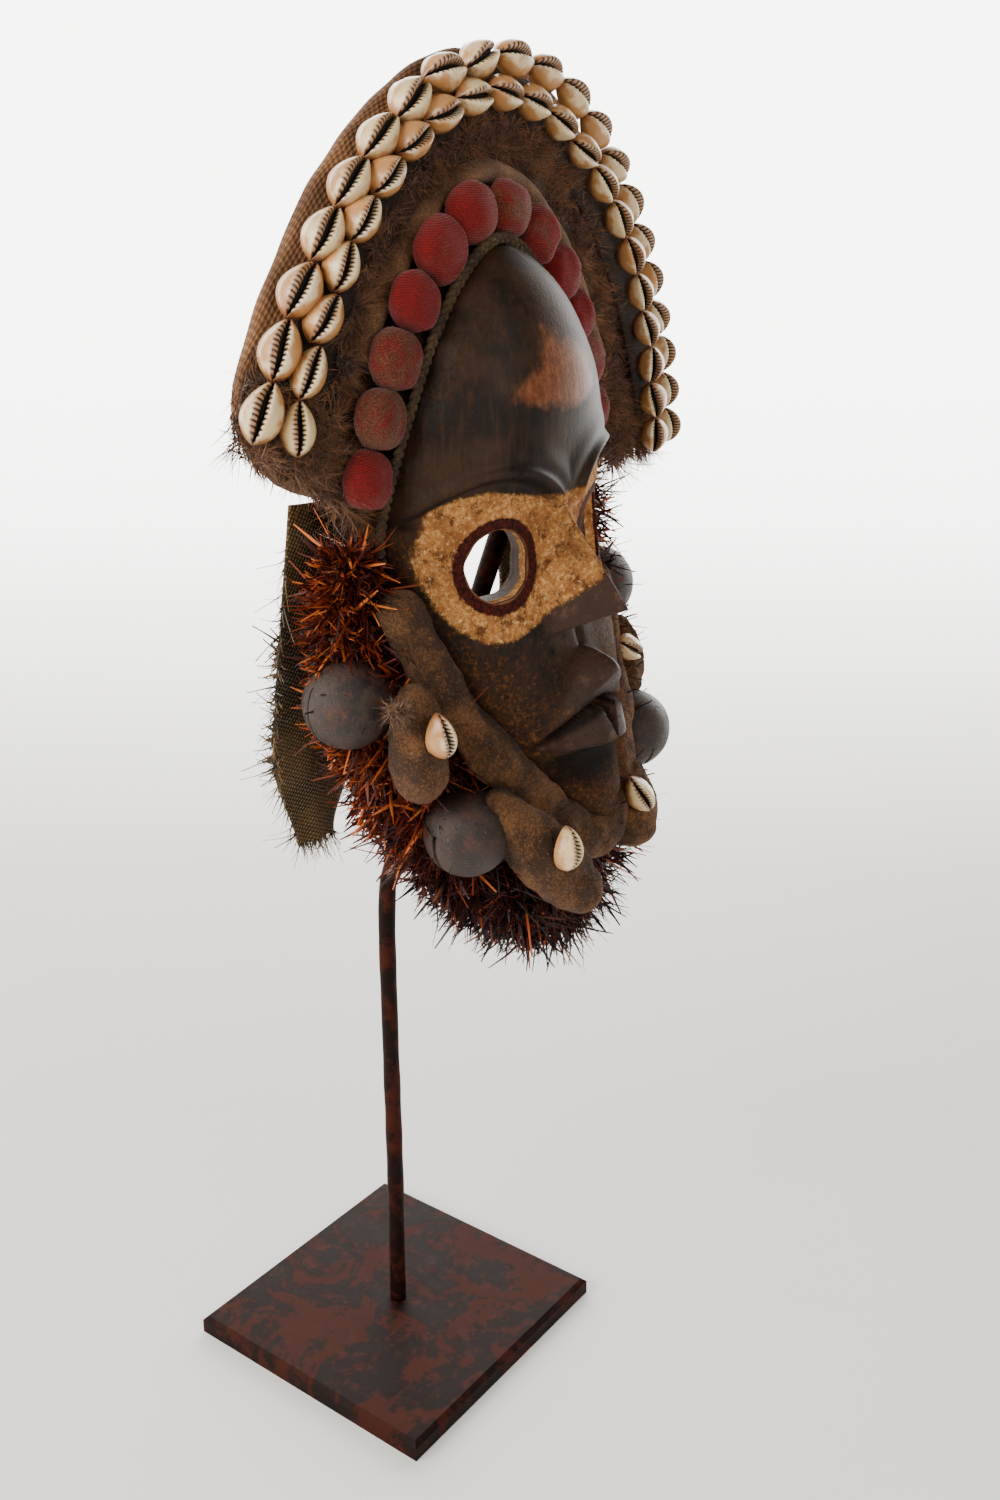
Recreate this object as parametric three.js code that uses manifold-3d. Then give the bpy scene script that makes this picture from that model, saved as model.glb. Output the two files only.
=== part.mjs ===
// Carved wooden face mask with a stuffed cloth crest, cowrie shells, iron bells and a fibre beard,
// held up by a steel rod on a square plate. Millimetres, +Z up. The mask looks along -Y, its own right
// side is at -X, and the origin is the middle of the plate's underside.
import * as THREE from "three";
import { mergeVertices } from "three/addons/utils/BufferGeometryUtils.js";
import { ConvexGeometry } from "three/addons/geometries/ConvexGeometry.js";
import Module from "manifold-3d";

const wasm = await Module();
wasm.setup();

// Stand
const PLATE = { side: 150, thick: 10, bevel: 2.4 };
const ROD = { radius: 4.3, bendZ: 262, topY: -83, topZ: 478, bendReach: 14 };

// The wood hangs a little askew: it leans about this level, its top towards its own right side
const HEAD = { lean: -0.088, level: 450 };

// Face: the outline is two half superellipses that meet at the widest level
const FACE = { halfWidth: 64.5, wideZ: 447, up: 112.5, down: 127, upPower: 1.7, downPower: 1.4 };
const WALL = 12;
const REAR_RIM = [[320, -84], [360, -68], [400, -54], [440, -46], [470, -44], [560, -50]];
const EDGE = [[320, -114], [335, -108.5], [345, -104], [356, -97.6], [369, -91.5], [384, -85.7], [398, -79],
  [413, -71.5], [428, -65], [445, -61], [458, -61.5], [478, -66], [504, -71.5], [533, -75], [560, -77.5]];
const MIDDLE = [[320, -120], [326, -123], [334, -123.5], [342, -120], [350, -117], [362, -117], [378, -115],
  [392, -111.5], [405, -108], [420, -103], [437, -100], [450, -102], [462, -105.5], [475, -106],
  [507, -107], [530, -101.5], [543, -95.5], [552, -88], [560, -79]];

// Carved features as the corners of wedges; a corner off the middle is there on both sides
const NOSE = [[0, -103, 459], [5, -100, 457], [0, -134.5, 418], [21, -101, 406], [12, -96, 440],
  [18, -94, 408]];
const UPPER_LIP = [[0, -112, 399], [0, -127.5, 395.5], [0, -131.8, 389.5], [5, -130.6, 388], [15, -112, 389],
  [33, -107.5, 363.4], [0, -124, 378.5], [9, -122, 376.5], [19, -116, 370.5], [14, -104, 386],
  [26, -101, 366]];
const LOWER_LIP = [[0, -129.5, 356.5], [8, -127.6, 356.6], [32.5, -107.5, 362], [9, -123, 374.5],
  [18, -116.5, 369.5], [9, -106, 373], [10, -106, 357], [26, -100, 362.5]];
const MOUTH_OPENING = [[0, -134, 359.5], [7.6, -132, 377], [6.4, -112, 377], [0, -112, 364]];
const BROW = { x: 42, z: 444, radius: 30, height: 2.2, recess: 2.4 };
const EYE = { x: 34, y: -94, z: 440, hole: 14.8, turn: 0.32 };

// Trim round the forehead, as distances out from the wood's rim
const CORD = { radius: 1.9, out: 2.3, end: 1.62 };
const PAD = { count: 12, out: 14.4, across: 10.2, radial: 10, deep: 7.6, end: 1.235 };
const BAND = { from: 25.6, to: 32.6, high: 6.4, end: 1.02 };
const PLUSH = { from: 33.6, to: 44, high: 3, end: 0.86 };

// Crest: two ellipses in a frame that is turned and tilted a little, as the handmade one sits
const CREST_TURN = 0.06;
const CREST_ROLL = 0.11;
const OUTER_ROW = { half: 149.5, tall: 272, z: 358, y: -57, end: 1.07, count: 21, crowd: 0.16 };
const INNER_ROW = { half: 117, tall: 187, z: 428.5, y: -63, end: 1.27, count: 21, crowd: 0.12 };
const CREST = { rim: 5, end: 1.14, rimEnd: 1.44, rings: 22 };
const COWRIE = { long: 23, wide: 16.6, high: 10.5 };
const SMALL_COWRIE = { wide: 13.8, high: 9.2 };
const GAP = 0.35;

// Jaw trim
const ROLL = { radius: 8.3, out: 9, rightEnd: 1.68, leftEnd: 1.92 };
const ROLL_DEPTH = [[309, -115], [330, -108.5], [352, -98.6], [380, -86.7], [410, -77.6], [440, -68.5]];
const BELL = { radius: 18.5, wall: 2, slit: 1.6 };
const BELLS = [
  { name: "iron_bell_right_upper", at: [-90.3, -57.6, 393.6], slitTurn: 1.25 },
  { name: "iron_bell_right_lower", at: [-64.1, -93, 333.7], slitTurn: 0.95 },
  { name: "iron_bell_left_upper", at: [90.3, -57.6, 393.6], slitTurn: -0.6 },
  { name: "iron_bell_left_lower", at: [64.1, -93, 333.7], slitTurn: -0.4 },
];
const LOBES = [
  { name: "right_upper", top: [-71, -77, 391], end: [-76.5, -88, 356], radius: 10.8,
    face: [-0.4, -0.9, 0.1], run: [0, 0, 1] },
  { name: "right_lower", top: [-41, -117, 334], end: [-20, -127, 299], radius: 13, face: [-0.6, -0.78, 0.1],
    run: [-0.3, 0, 1] },
  { name: "left_upper", top: [81, -78.5, 391], end: [78.6, -86, 357], radius: 10.6, face: [-0.6, -0.78, 0.2],
    run: [0.8, 0, 0.35] },
  { name: "left_lower", top: [42, -109, 337], end: [40, -116, 302], radius: 14, face: [-0.6, -0.78, 0.25],
    run: [-0.5, 0.3, 1] },
];
const BEARD = { inner: 1, thick: 10, behindRoll: 13, midY: -98, curl: 55, rightEnd: 1.54, leftEnd: 1.8 };
const BEARD_REACH = [[0, 22], [0.3, 43], [0.6, 60], [1, 68]];
const FLAP = { y: -31, thick: 3.6, topZ: 462, endZ: 321, inner: 52, outerTop: 82, outerLow: 99 };

// Finishes
const LOOKS = {
  wood: { color: 0x2e211a, roughness: 0.5 },
  steel: { color: 0x3c2620, roughness: 0.55, metalness: 0.7 },
  iron: { color: 0x3a3330, roughness: 0.5, metalness: 0.6 },
  ribbed: { color: 0x5a402c, roughness: 0.95 },
  plush: { color: 0x4a3222, roughness: 1 },
  brown: { color: 0x55402c, roughness: 0.95 },
  red: { color: 0x7c2622, roughness: 0.9 },
  cord: { color: 0x6b5a34, roughness: 0.9 },
  shell: { color: 0xdcc9a6, roughness: 0.3 },
  fibre: { color: 0x64261a, roughness: 0.8 },
  twill: { color: 0x3b3a2a, roughness: 0.95 },
};

const part = new THREE.Group();

// What is fixed to the wood leans with it
const head = new THREE.Group();
head.rotation.y = HEAD.lean;
head.position.set(0, 0, -HEAD.level).applyEuler(head.rotation).add(new THREE.Vector3(0, 0, HEAD.level));
head.updateMatrix();
part.add(head);

function addPiece(name, geometry, look, holder = part) {
  const mesh = new THREE.Mesh(geometry, new THREE.MeshStandardMaterial({ metalness: 0, ...LOOKS[look] }));
  mesh.name = name;
  holder.add(mesh);
  return mesh;
}

// Number helpers

const clamp = (value, low = 0, high = 1) => Math.min(high, Math.max(low, value));
const mix = (a, b, share) => a + (b - a) * share;
const ease = (low, high, value) => THREE.MathUtils.smoothstep(value, low, high);
const keepSign = (value, power) => Math.sign(value) * Math.abs(value) ** power;

// Value at a place along a row of [place, value] stations, with a smooth slope through each station
function along(stations, place) {
  const at = clamp(place, stations[0][0], stations.at(-1)[0]);
  const next = Math.max(1, stations.findIndex(([where]) => where >= at));
  const slope = (i) => {
    const before = stations[Math.max(0, i - 1)];
    const after = stations[Math.min(stations.length - 1, i + 1)];
    return (after[1] - before[1]) / (after[0] - before[0]);
  };
  const [startAt, start] = stations[next - 1];
  const [endAt, end] = stations[next];
  const length = endAt - startAt;
  const t = (at - startAt) / length;
  const bend = (t - 1) ** 2 * t * length * slope(next - 1) + t * t * (t - 1) * length * slope(next);
  return mix(start, end, t * t * (3 - 2 * t)) + bend;
}

// Solid helpers

// A closed geometry whose faces are turned outward
function closed(points, faces) {
  let volume = 0;
  for (let i = 0; i < faces.length; i += 3) {
    const [a, b, c] = [points[faces[i]], points[faces[i + 1]], points[faces[i + 2]]];
    volume += a.dot(b.clone().cross(c));
  }
  if (volume < 0) faces.reverse();
  const geometry = new THREE.BufferGeometry().setFromPoints(points);
  geometry.setIndex(faces);
  return geometry;
}

// A solid through a row of rings, with a point at each end that closes it
function loft(rings, startPoint, endPoint) {
  const count = rings[0].length;
  const points = [...rings.flat(), startPoint, endPoint];
  const first = points.length - 2;
  const last = points.length - 1;
  const faces = [];
  for (let j = 0; j < count; j++) {
    const k = (j + 1) % count;
    faces.push(first, k, j);
    for (let i = 0; i + 1 < rings.length; i++) {
      const here = i * count;
      const there = here + count;
      faces.push(here + j, here + k, there + k, here + j, there + k, there + j);
    }
    const end = (rings.length - 1) * count;
    faces.push(last, end + j, end + k);
  }
  return closed(points, faces);
}

const middleOf = (ring) =>
  ring.reduce((sum, p) => sum.add(p), new THREE.Vector3()).divideScalar(ring.length);

// A solid between a front and a back surface, given over the same grid of columns and rows
function slab(front, back, columns, rows) {
  const points = [];
  for (const surface of [front, back]) {
    for (const row of rows) {
      for (const column of columns) points.push(surface(column, row));
    }
  }
  const wide = columns.length;
  const half = wide * rows.length;
  const faces = [];
  for (let i = 0; i + 1 < rows.length; i++) {
    for (let j = 0; j + 1 < wide; j++) {
      const a = i * wide + j;
      faces.push(a, a + 1, a + wide + 1, a, a + wide + 1, a + wide);
      faces.push(half + a, half + a + wide + 1, half + a + 1, half + a, half + a + wide, half + a + wide + 1);
    }
  }
  const wall = (a, b) => faces.push(b, a, half + a, b, half + a, half + b);
  for (let j = 0; j + 1 < wide; j++) {
    wall(j, j + 1);
    wall(half - wide + j + 1, half - wide + j);
  }
  for (let i = 0; i + 1 < rows.length; i++) {
    wall((i + 1) * wide, i * wide);
    wall(i * wide + wide - 1, (i + 1) * wide + wide - 1);
  }
  return closed(points, faces);
}

function toSolid(geometry) {
  const bare = geometry.clone();
  bare.deleteAttribute("normal");
  bare.deleteAttribute("uv");
  const merged = mergeVertices(bare, 1e-4);
  return new wasm.Manifold(
    new wasm.Mesh({
      numProp: 3,
      vertProperties: new Float32Array(merged.attributes.position.array),
      triVerts: new Uint32Array(merged.index.array),
    }),
  );
}

function toGeometry(solid) {
  const mesh = solid.getMesh();
  const geometry = new THREE.BufferGeometry();
  geometry.setAttribute("position", new THREE.BufferAttribute(new Float32Array(mesh.vertProperties), 3));
  geometry.setIndex(new THREE.BufferAttribute(new Uint32Array(mesh.triVerts), 1));
  return geometry;
}

// The convex solid between corners that are listed for one side and mirrored to the other
function wedge(corners) {
  const both = corners.flatMap(([x, y, z]) => (x === 0 ? [[0, y, z]] : [[x, y, z], [-x, y, z]]));
  return new ConvexGeometry(both.map((corner) => new THREE.Vector3(...corner)));
}

// A round bar along a curve
function tube(curve, radius, sides, steps) {
  const section = new THREE.Shape(
    Array.from({ length: sides }, (_, i) => {
      const angle = (2 * Math.PI * i) / sides;
      return new THREE.Vector2(radius * Math.cos(angle), radius * Math.sin(angle));
    }),
  );
  return new THREE.ExtrudeGeometry(section, { steps, extrudePath: curve, bevelEnabled: false });
}

// Face outline and front surface

// A point of the outline moved out by a distance, seen from the front; the angle starts at the top
function outlineAt(angle, out = 0) {
  const place = (a) => {
    const low = Math.cos(a) < 0;
    const power = 2 / (low ? FACE.downPower : FACE.upPower);
    const reach = low ? FACE.down : FACE.up;
    return [FACE.halfWidth * keepSign(Math.sin(a), power), FACE.wideZ + reach * keepSign(Math.cos(a), power)];
  };
  const step = 0.01;
  const [x, z] = place(angle);
  const [ax, az] = place(angle - step);
  const [bx, bz] = place(angle + step);
  const length = Math.hypot(bx - ax, bz - az);
  return [x - (out * (bz - az)) / length, z + (out * (bx - ax)) / length];
}

function halfWidthAt(z) {
  const up = z > FACE.wideZ;
  const power = up ? FACE.upPower : FACE.downPower;
  const share = Math.abs(z - FACE.wideZ) / (up ? FACE.up : FACE.down);
  return FACE.halfWidth * Math.max(0, 1 - share ** power) ** (1 / power);
}

const edgeAt = (z) => along(EDGE, z);

// The plain curved front, before nose, brows and mouth
function plainFront(x, z) {
  const across = clamp(Math.abs(x) / Math.max(1, halfWidthAt(z)));
  return mix(edgeAt(z), along(MIDDLE, z), Math.sqrt(1 - across ** 2.1));
}

// The brow is a raised arc, and the eye's plane lies a little lower inside it
function browRelief(x, z) {
  const side = Math.abs(x) - BROW.x;
  const up = z - BROW.z;
  const from = Math.hypot(side, up);
  const above = ease(10, 20, up);
  const ridge = BROW.height * Math.exp(-(((from - BROW.radius - 1.5) / 3) ** 2)) * above;
  const hollow = BROW.recess * (1 - ease(BROW.radius - 3, BROW.radius, from)) * ease(-12, 14, up);
  return ridge - hollow;
}

const frontAt = (x, z) => plainFront(x, z) - browRelief(x, z);

// Levels from the top down, closer together over the nose and the mouth
function levels(spans) {
  const list = [spans[0].from];
  for (const { from, to, count } of spans) {
    for (let i = 1; i <= count; i++) list.push(mix(from, to, i / count));
  }
  return list;
}

const mirrored = (shares) => [...shares.slice(1).map((s) => -s).reverse(), ...shares];

function woodenMask() {
  const topZ = FACE.wideZ + FACE.up - 0.6;
  const endZ = FACE.wideZ - FACE.down + 1.2;
  const rows = levels([
    { from: topZ, to: 554, count: 2 },
    { from: 554, to: 478, count: 6 },
    { from: 478, to: 404, count: 13 },
    { from: 404, to: endZ, count: 8 },
  ]);
  const columns = mirrored([0, 0.15, 0.32, 0.48, 0.64, 0.8, 0.93, 1]);
  const outside = slab(
    (s, z) => new THREE.Vector3(s * halfWidthAt(z), frontAt(s * halfWidthAt(z), z), z),
    (s, z) => new THREE.Vector3(s * halfWidthAt(z), along(REAR_RIM, z), z),
    columns,
    rows,
  );
  // The hollow follows the plain front at the wall's thickness and opens at the rear
  const shrink = (z) => FACE.wideZ + (z - FACE.wideZ) * (1 - WALL / FACE.up);
  const hollowRows = levels([{ from: topZ, to: endZ, count: 10 }]);
  const hollowColumns = mirrored([0, 0.3, 0.58, 0.82, 0.96]);
  const inner = (s, z) => s * Math.max(3, halfWidthAt(z) - WALL + 3);
  const insideAt = (x, z) => Math.min(-53, plainFront(x, z) + WALL);
  const hollow = slab(
    (s, z) => new THREE.Vector3(inner(s, z), insideAt(s * halfWidthAt(z), z), shrink(z)),
    (s, z) => new THREE.Vector3(inner(s, z), 0, shrink(z)),
    hollowColumns,
    hollowRows,
  );
  let solid = toSolid(outside);
  for (const corners of [NOSE, UPPER_LIP, LOWER_LIP]) solid = solid.add(toSolid(wedge(corners)));
  solid = solid.subtract(toSolid(wedge(MOUTH_OPENING))).subtract(toSolid(hollow));
  for (const side of [-1, 1]) {
    const bore = new THREE.CylinderGeometry(EYE.hole, EYE.hole, 70, 24);
    bore.rotateZ(side * EYE.turn);
    bore.translate(side * EYE.x, EYE.y, EYE.z);
    solid = solid.subtract(toSolid(bore));
  }
  return toGeometry(solid);
}

// Stand

function basePlate() {
  const half = PLATE.side / 2;
  const top = half - PLATE.bevel;
  const corners = [[-1, -1], [1, -1], [1, 1], [-1, 1]];
  const ring = (reach, z) => corners.map(([x, y]) => new THREE.Vector3(x * reach, y * reach, z));
  const rings = [ring(half, 0), ring(half, PLATE.thick - PLATE.bevel), ring(top, PLATE.thick)];
  return loft(rings, new THREE.Vector3(0, 0, 0), new THREE.Vector3(0, 0, PLATE.thick));
}

// The rod stands up from the plate, bends and slopes forward to the inside of the forehead
function standRod() {
  const bend = new THREE.Vector3(0, 0, ROD.bendZ);
  const top = new THREE.Vector3(0, ROD.topY, ROD.topZ);
  const slope = top.clone().sub(bend).normalize();
  const before = bend.clone().add(new THREE.Vector3(0, 0, -ROD.bendReach));
  const after = bend.clone().addScaledVector(slope, ROD.bendReach);
  const foot = new THREE.Vector3(0, 0, PLATE.thick + 0.3);
  const ringAt = (place, direction) => {
    const side = new THREE.Vector3(1, 0, 0);
    const across = side.clone().cross(direction).normalize();
    return Array.from({ length: 10 }, (_, i) => {
      const angle = (2 * Math.PI * i) / 10;
      return place
        .clone()
        .addScaledVector(side, ROD.radius * Math.cos(angle))
        .addScaledVector(across, ROD.radius * Math.sin(angle));
    });
  };
  const up = new THREE.Vector3(0, 0, 1);
  const turn = new THREE.QuadraticBezierCurve3(before, bend, after);
  const rings = [ringAt(foot, up)];
  for (let i = 0; i <= 4; i++) rings.push(ringAt(turn.getPoint(i / 4), turn.getTangent(i / 4)));
  rings.push(ringAt(top, slope));
  return loft(rings, foot, top.clone().addScaledVector(slope, 1.5));
}

// Forehead trim

function foreheadCord() {
  const points = [];
  for (let i = 0; i <= 28; i++) {
    const [x, z] = outlineAt(mix(-CORD.end, CORD.end, i / 28), CORD.out);
    points.push(new THREE.Vector3(x, edgeAt(z) + 1, z));
  }
  return tube(new THREE.CatmullRomCurve3(points), CORD.radius, 5, 26);
}

// Angles whose points lie at equal distances, or a little closer together towards the end of the run
function evenly(pointAt, end, count, crowd = 0) {
  const samples = 240;
  const angles = Array.from({ length: samples + 1 }, (_, i) => mix(-end, end, i / samples));
  const points = angles.map((angle) => pointAt(angle));
  const run = [0];
  for (let i = 1; i <= samples; i++) run.push(run[i - 1] + points[i].distanceTo(points[i - 1]));
  return Array.from({ length: count }, (_, k) => {
    const share = k / (count - 1);
    const wanted = run.at(-1) * (share + crowd * share * (1 - share)) * (1 - 1e-9);
    const i = Math.max(1, run.findIndex((distance) => distance >= wanted));
    return mix(angles[i - 1], angles[i], (wanted - run[i - 1]) / (run[i] - run[i - 1]));
  });
}

// Red pads side by side round the rim, lying on the crest's web
function addPads() {
  const spotAt = (angle, out = PAD.out) => new THREE.Vector2(...outlineAt(angle, out));
  evenly(spotAt, PAD.end, PAD.count).forEach((angle, i) => {
    const pad = new THREE.SphereGeometry(1, 8, 4);
    pad.scale(PAD.across, PAD.deep, PAD.radial);
    const mesh = addPiece(`red_pad_${String(i + 1).padStart(2, "0")}`, pad, "red", head);
    const spot = spotAt(angle);
    const outward = spotAt(angle, PAD.out + 1).sub(spot);
    mesh.position.set(spot.x, overCrest(angle, PAD.out, PAD.deep + 3 * GAP).y, spot.y);
    mesh.rotation.y = Math.atan2(outward.x, outward.y);
  });
}

// A rounded strip that lies on the crest's front, between two distances from the wood's rim
function crestStrip({ from, to, high, end }, steps) {
  const shape = [[0, 0], [0.08, 0.6], [0.5, 1], [0.92, 0.6], [1, 0], [0.5, 0]];
  const rings = evenly((angle) => overCrest(angle, from), end, steps).map((angle) =>
    shape.map(([across, up]) => overCrest(angle, mix(from, to, across), 2 * GAP + up * high)),
  );
  return loft(rings, middleOf(rings[0]), middleOf(rings.at(-1)));
}

// Crest

// A point in the crest's own frame: x across, back along the depth, z up
function crestPlace(x, back, z) {
  const rolledX = x * Math.cos(CREST_ROLL) + z * Math.sin(CREST_ROLL);
  const rolledZ = z * Math.cos(CREST_ROLL) - x * Math.sin(CREST_ROLL);
  return [rolledX * Math.cos(CREST_TURN), back - rolledX * Math.sin(CREST_TURN), rolledZ];
}

// A point on a row's ellipse at an angle from the top, moved out and back
function rowPoint(row, angle, out = 0, back = 0) {
  const across = (row.half + out) * Math.sin(angle);
  const [x, y, z] = crestPlace(across, row.y + back, (row.tall + out) * Math.cos(angle));
  return new THREE.Vector3(x, y, z + row.z);
}

// The crest's section from the mask's rim to its outer edge, as [share of the way out, depth]: its front,
// then its back. Its inner web follows the rim behind the pads, its outer part the rows of shells.
const CREST_FRONT = [[0.01, -61.6], [0.28, -61.6], [0.5, -56.8], [0.68, -55.4], [0.84, -51.4], [0.94, -47],
  [1, -43]];
const CREST_BACK = [[0.96, -36], [0.82, -31], [0.62, -29], [0.45, -36], [0.01, -54]];
const WEB = { depth: -61.6, behindEdge: 12.4, share: 0.45 };

// The rim's and the outer edge's points at an outline angle
function crestSpan(rimAngle) {
  const [rimX, rimZ] = outlineAt(rimAngle, 0.6);
  const rim = new THREE.Vector3(rimX, edgeAt(rimZ) + WEB.behindEdge, rimZ).applyMatrix4(head.matrix);
  const angle = rimAngle * (CREST.end / CREST.rimEnd);
  return { rim, outer: rowPoint(OUTER_ROW, angle, CREST.rim * Math.cos(angle)) };
}

function crestPoint({ rim, outer }, share, depth) {
  const web = clamp(1 - share / WEB.share);
  const y = depth + (outer.y - OUTER_ROW.y) * share + web * (rim.y - WEB.depth);
  return new THREE.Vector3(mix(rim.x, outer.x, share), y, mix(rim.z, outer.z, share));
}

// A point over the crest's front, at a distance out from the rim and a height above the cloth
function overCrest(rimAngle, out, height = 0) {
  const span = crestSpan(rimAngle);
  const share = out / Math.hypot(span.outer.x - span.rim.x, span.outer.z - span.rim.z);
  const next = clamp(CREST_FRONT.findIndex(([place]) => place >= share), 1, CREST_FRONT.length - 1);
  const [[startAt, start], [endAt, end]] = CREST_FRONT.slice(next - 1, next + 1);
  return crestPoint(span, share, mix(start, end, (share - startAt) / (endAt - startAt)) - height);
}

// The stuffed arch, its end rings drawn in to round the ends off
function crest() {
  const rings = [];
  for (let i = 0; i <= CREST.rings; i++) {
    const span = crestSpan(mix(-CREST.rimEnd, CREST.rimEnd, i / CREST.rings));
    const ring = [...CREST_FRONT, ...CREST_BACK].map(([share, depth]) => crestPoint(span, share, depth));
    const heart = middleOf(ring);
    const drawnIn = i === 0 || i === CREST.rings ? 0.3 : 0;
    rings.push(ring.map((p) => p.lerp(heart, drawnIn)));
  }
  return loft(rings, middleOf(rings[0]), middleOf(rings.at(-1)));
}

// One cowrie: an egg with a flat back, two lips and a groove between them along its length
function cowrie(size = COWRIE) {
  const { long, wide, high } = size;
  const outline = [[0, -0.5], [-0.5, 0], [-0.2, 0.5], [0, 0.28], [0.2, 0.5], [0.5, 0]];
  const rings = [[-0.36, 0.72], [0.02, 1], [0.36, 0.66]].map(([place, swell]) =>
    outline.map(([x, y]) => new THREE.Vector3(x * wide * swell, y * high * swell, place * long)),
  );
  return loft(rings, new THREE.Vector3(0, 0, -long / 2), new THREE.Vector3(0, 0, long / 2));
}

// Turns a shell so that its length runs along one direction and its lips face another
function placed(geometry, at, run, face) {
  const z = run.clone().normalize();
  const y = face.clone().addScaledVector(z, -face.dot(z)).normalize();
  const x = y.clone().cross(z);
  return geometry.applyMatrix4(new THREE.Matrix4().makeBasis(x, y, z).setPosition(at));
}

// A row of shells end to end along the crest, joined where their tips touch
function cowrieRow(row, outward, size) {
  const angles = evenly((angle) => rowPoint(row, angle), row.end, row.count, row.crowd);
  const last = angles.length - 1;
  let solid = null;
  angles.forEach((angle, i) => {
    const at = rowPoint(row, angle);
    const before = rowPoint(row, angles[Math.max(0, i - 1)]);
    const after = rowPoint(row, angles[Math.min(last, i + 1)]);
    const face = rowPoint(row, angle, outward).sub(at).add(new THREE.Vector3(0, -1, 0));
    const long = Math.max(before.distanceTo(at), after.distanceTo(at)) + 1.4;
    const shell = toSolid(placed(cowrie({ ...size, long }), at, after.clone().sub(before), face));
    solid = solid ? solid.add(shell) : shell;
  });
  return toGeometry(solid);
}

// Jaw trim

// The point of the stuffed roll below the outline at an angle from the top
function rollPoint(angle) {
  const [x, z] = outlineAt(angle, ROLL.out);
  return new THREE.Vector3(x, along(ROLL_DEPTH, z), z);
}

function jawRoll(radius = ROLL.radius) {
  const last = 2 * Math.PI - ROLL.rightEnd;
  const points = [];
  for (let i = 0; i <= 26; i++) points.push(rollPoint(mix(ROLL.leftEnd, last, i / 26)));
  return tube(new THREE.CatmullRomCurve3(points), radius, 8, 24);
}

// A hollow ball with a slit half-way round it
function bell({ at, slitTurn }) {
  const outer = toSolid(new THREE.SphereGeometry(BELL.radius, 11, 7));
  const inner = toSolid(new THREE.SphereGeometry(BELL.radius - BELL.wall, 8, 5));
  const slit = new THREE.BoxGeometry(BELL.radius * 2.2, BELL.slit, BELL.radius * 1.5);
  slit.translate(0, 0, -BELL.radius);
  slit.rotateZ(slitTurn);
  const geometry = toGeometry(outer.subtract(inner).subtract(toSolid(slit)));
  geometry.translate(...at);
  return geometry;
}

// Share of the way down a stuffed drop and how full it is there
const DROP = [[0, 0.42], [0.22, 0.72], [0.5, 0.98], [0.76, 1], [1, 0.8], [1.16, 0.4]];

// A stuffed drop: narrow where it is tied to the roll, full near its end
function lobe({ top, end, radius }) {
  const start = new THREE.Vector3(...top);
  const axis = new THREE.Vector3(...end).sub(start);
  const side = new THREE.Vector3(1, 0, 0).addScaledVector(axis, -axis.x / axis.lengthSq()).normalize();
  const across = side.clone().cross(axis).normalize();
  const rings = DROP.map(([share, swell]) =>
    Array.from({ length: 10 }, (_, i) => {
      const turn = (2 * Math.PI * i) / 10;
      return start
        .clone()
        .addScaledVector(axis, share)
        .addScaledVector(side, radius * swell * Math.cos(turn))
        .addScaledVector(across, radius * swell * Math.sin(turn));
    }),
  );
  return loft(rings, start.clone().addScaledVector(axis, -0.04), start.clone().addScaledVector(axis, 1.2));
}

// The shell sewn on a drop, a little sunk into it
function lobeShell({ top, end, radius, face, run }, grow = 0) {
  const outward = new THREE.Vector3(...face).normalize();
  const at = new THREE.Vector3(...top).lerp(new THREE.Vector3(...end), 0.42);
  at.addScaledVector(outward, radius + COWRIE.high * 0.3);
  const size = { long: COWRIE.long + grow, wide: COWRIE.wide + grow, high: COWRIE.high + grow };
  return placed(cowrie(size), at, new THREE.Vector3(...run), outward);
}

function addLobe(spec, roll) {
  const body = toSolid(lobe(spec)).subtract(roll).subtract(toSolid(lobeShell(spec, 2 * GAP)));
  addPiece(`jaw_lobe_${spec.name}`, toGeometry(body), "brown", head);
  addPiece(`lobe_cowrie_${spec.name}`, lobeShell(spec), "shell", head);
}

// The beard lies behind the roll against the wood and sweeps back towards its tips
function beard() {
  const last = 2 * Math.PI - BEARD.rightEnd;
  const angles = Array.from({ length: 19 }, (_, i) => mix(BEARD.leftEnd, last, i / 18));
  const surface = (angle, share, back) => {
    const low = 1 - Math.abs(angle - Math.PI) / (Math.PI - BEARD.rightEnd);
    const [x, z] = outlineAt(angle, mix(BEARD.inner, along(BEARD_REACH, low), share));
    const [, rimZ] = outlineAt(angle);
    const atWood = Math.max(edgeAt(rimZ), along(ROLL_DEPTH, rimZ)) + BEARD.behindRoll;
    const atTips = BEARD.midY + BEARD.curl * (x / 100) ** 2;
    const thick = BEARD.thick * (1 - 0.35 * share);
    return new THREE.Vector3(x, mix(atWood, atTips, share) + back * thick, z);
  };
  const shares = [0, 0.35, 0.7, 1];
  const front = (share, angle) => surface(angle, share, 0);
  const back = (share, angle) => surface(angle, share, 1);
  let solid = toSolid(slab(front, back, shares, angles));
  // Each bell lies in a hollow of its own
  for (const { at } of BELLS) {
    const seat = new THREE.SphereGeometry(BELL.radius + 2 * GAP, 11, 7);
    seat.translate(...at);
    solid = solid.subtract(toSolid(seat));
  }
  return toGeometry(solid);
}

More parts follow.
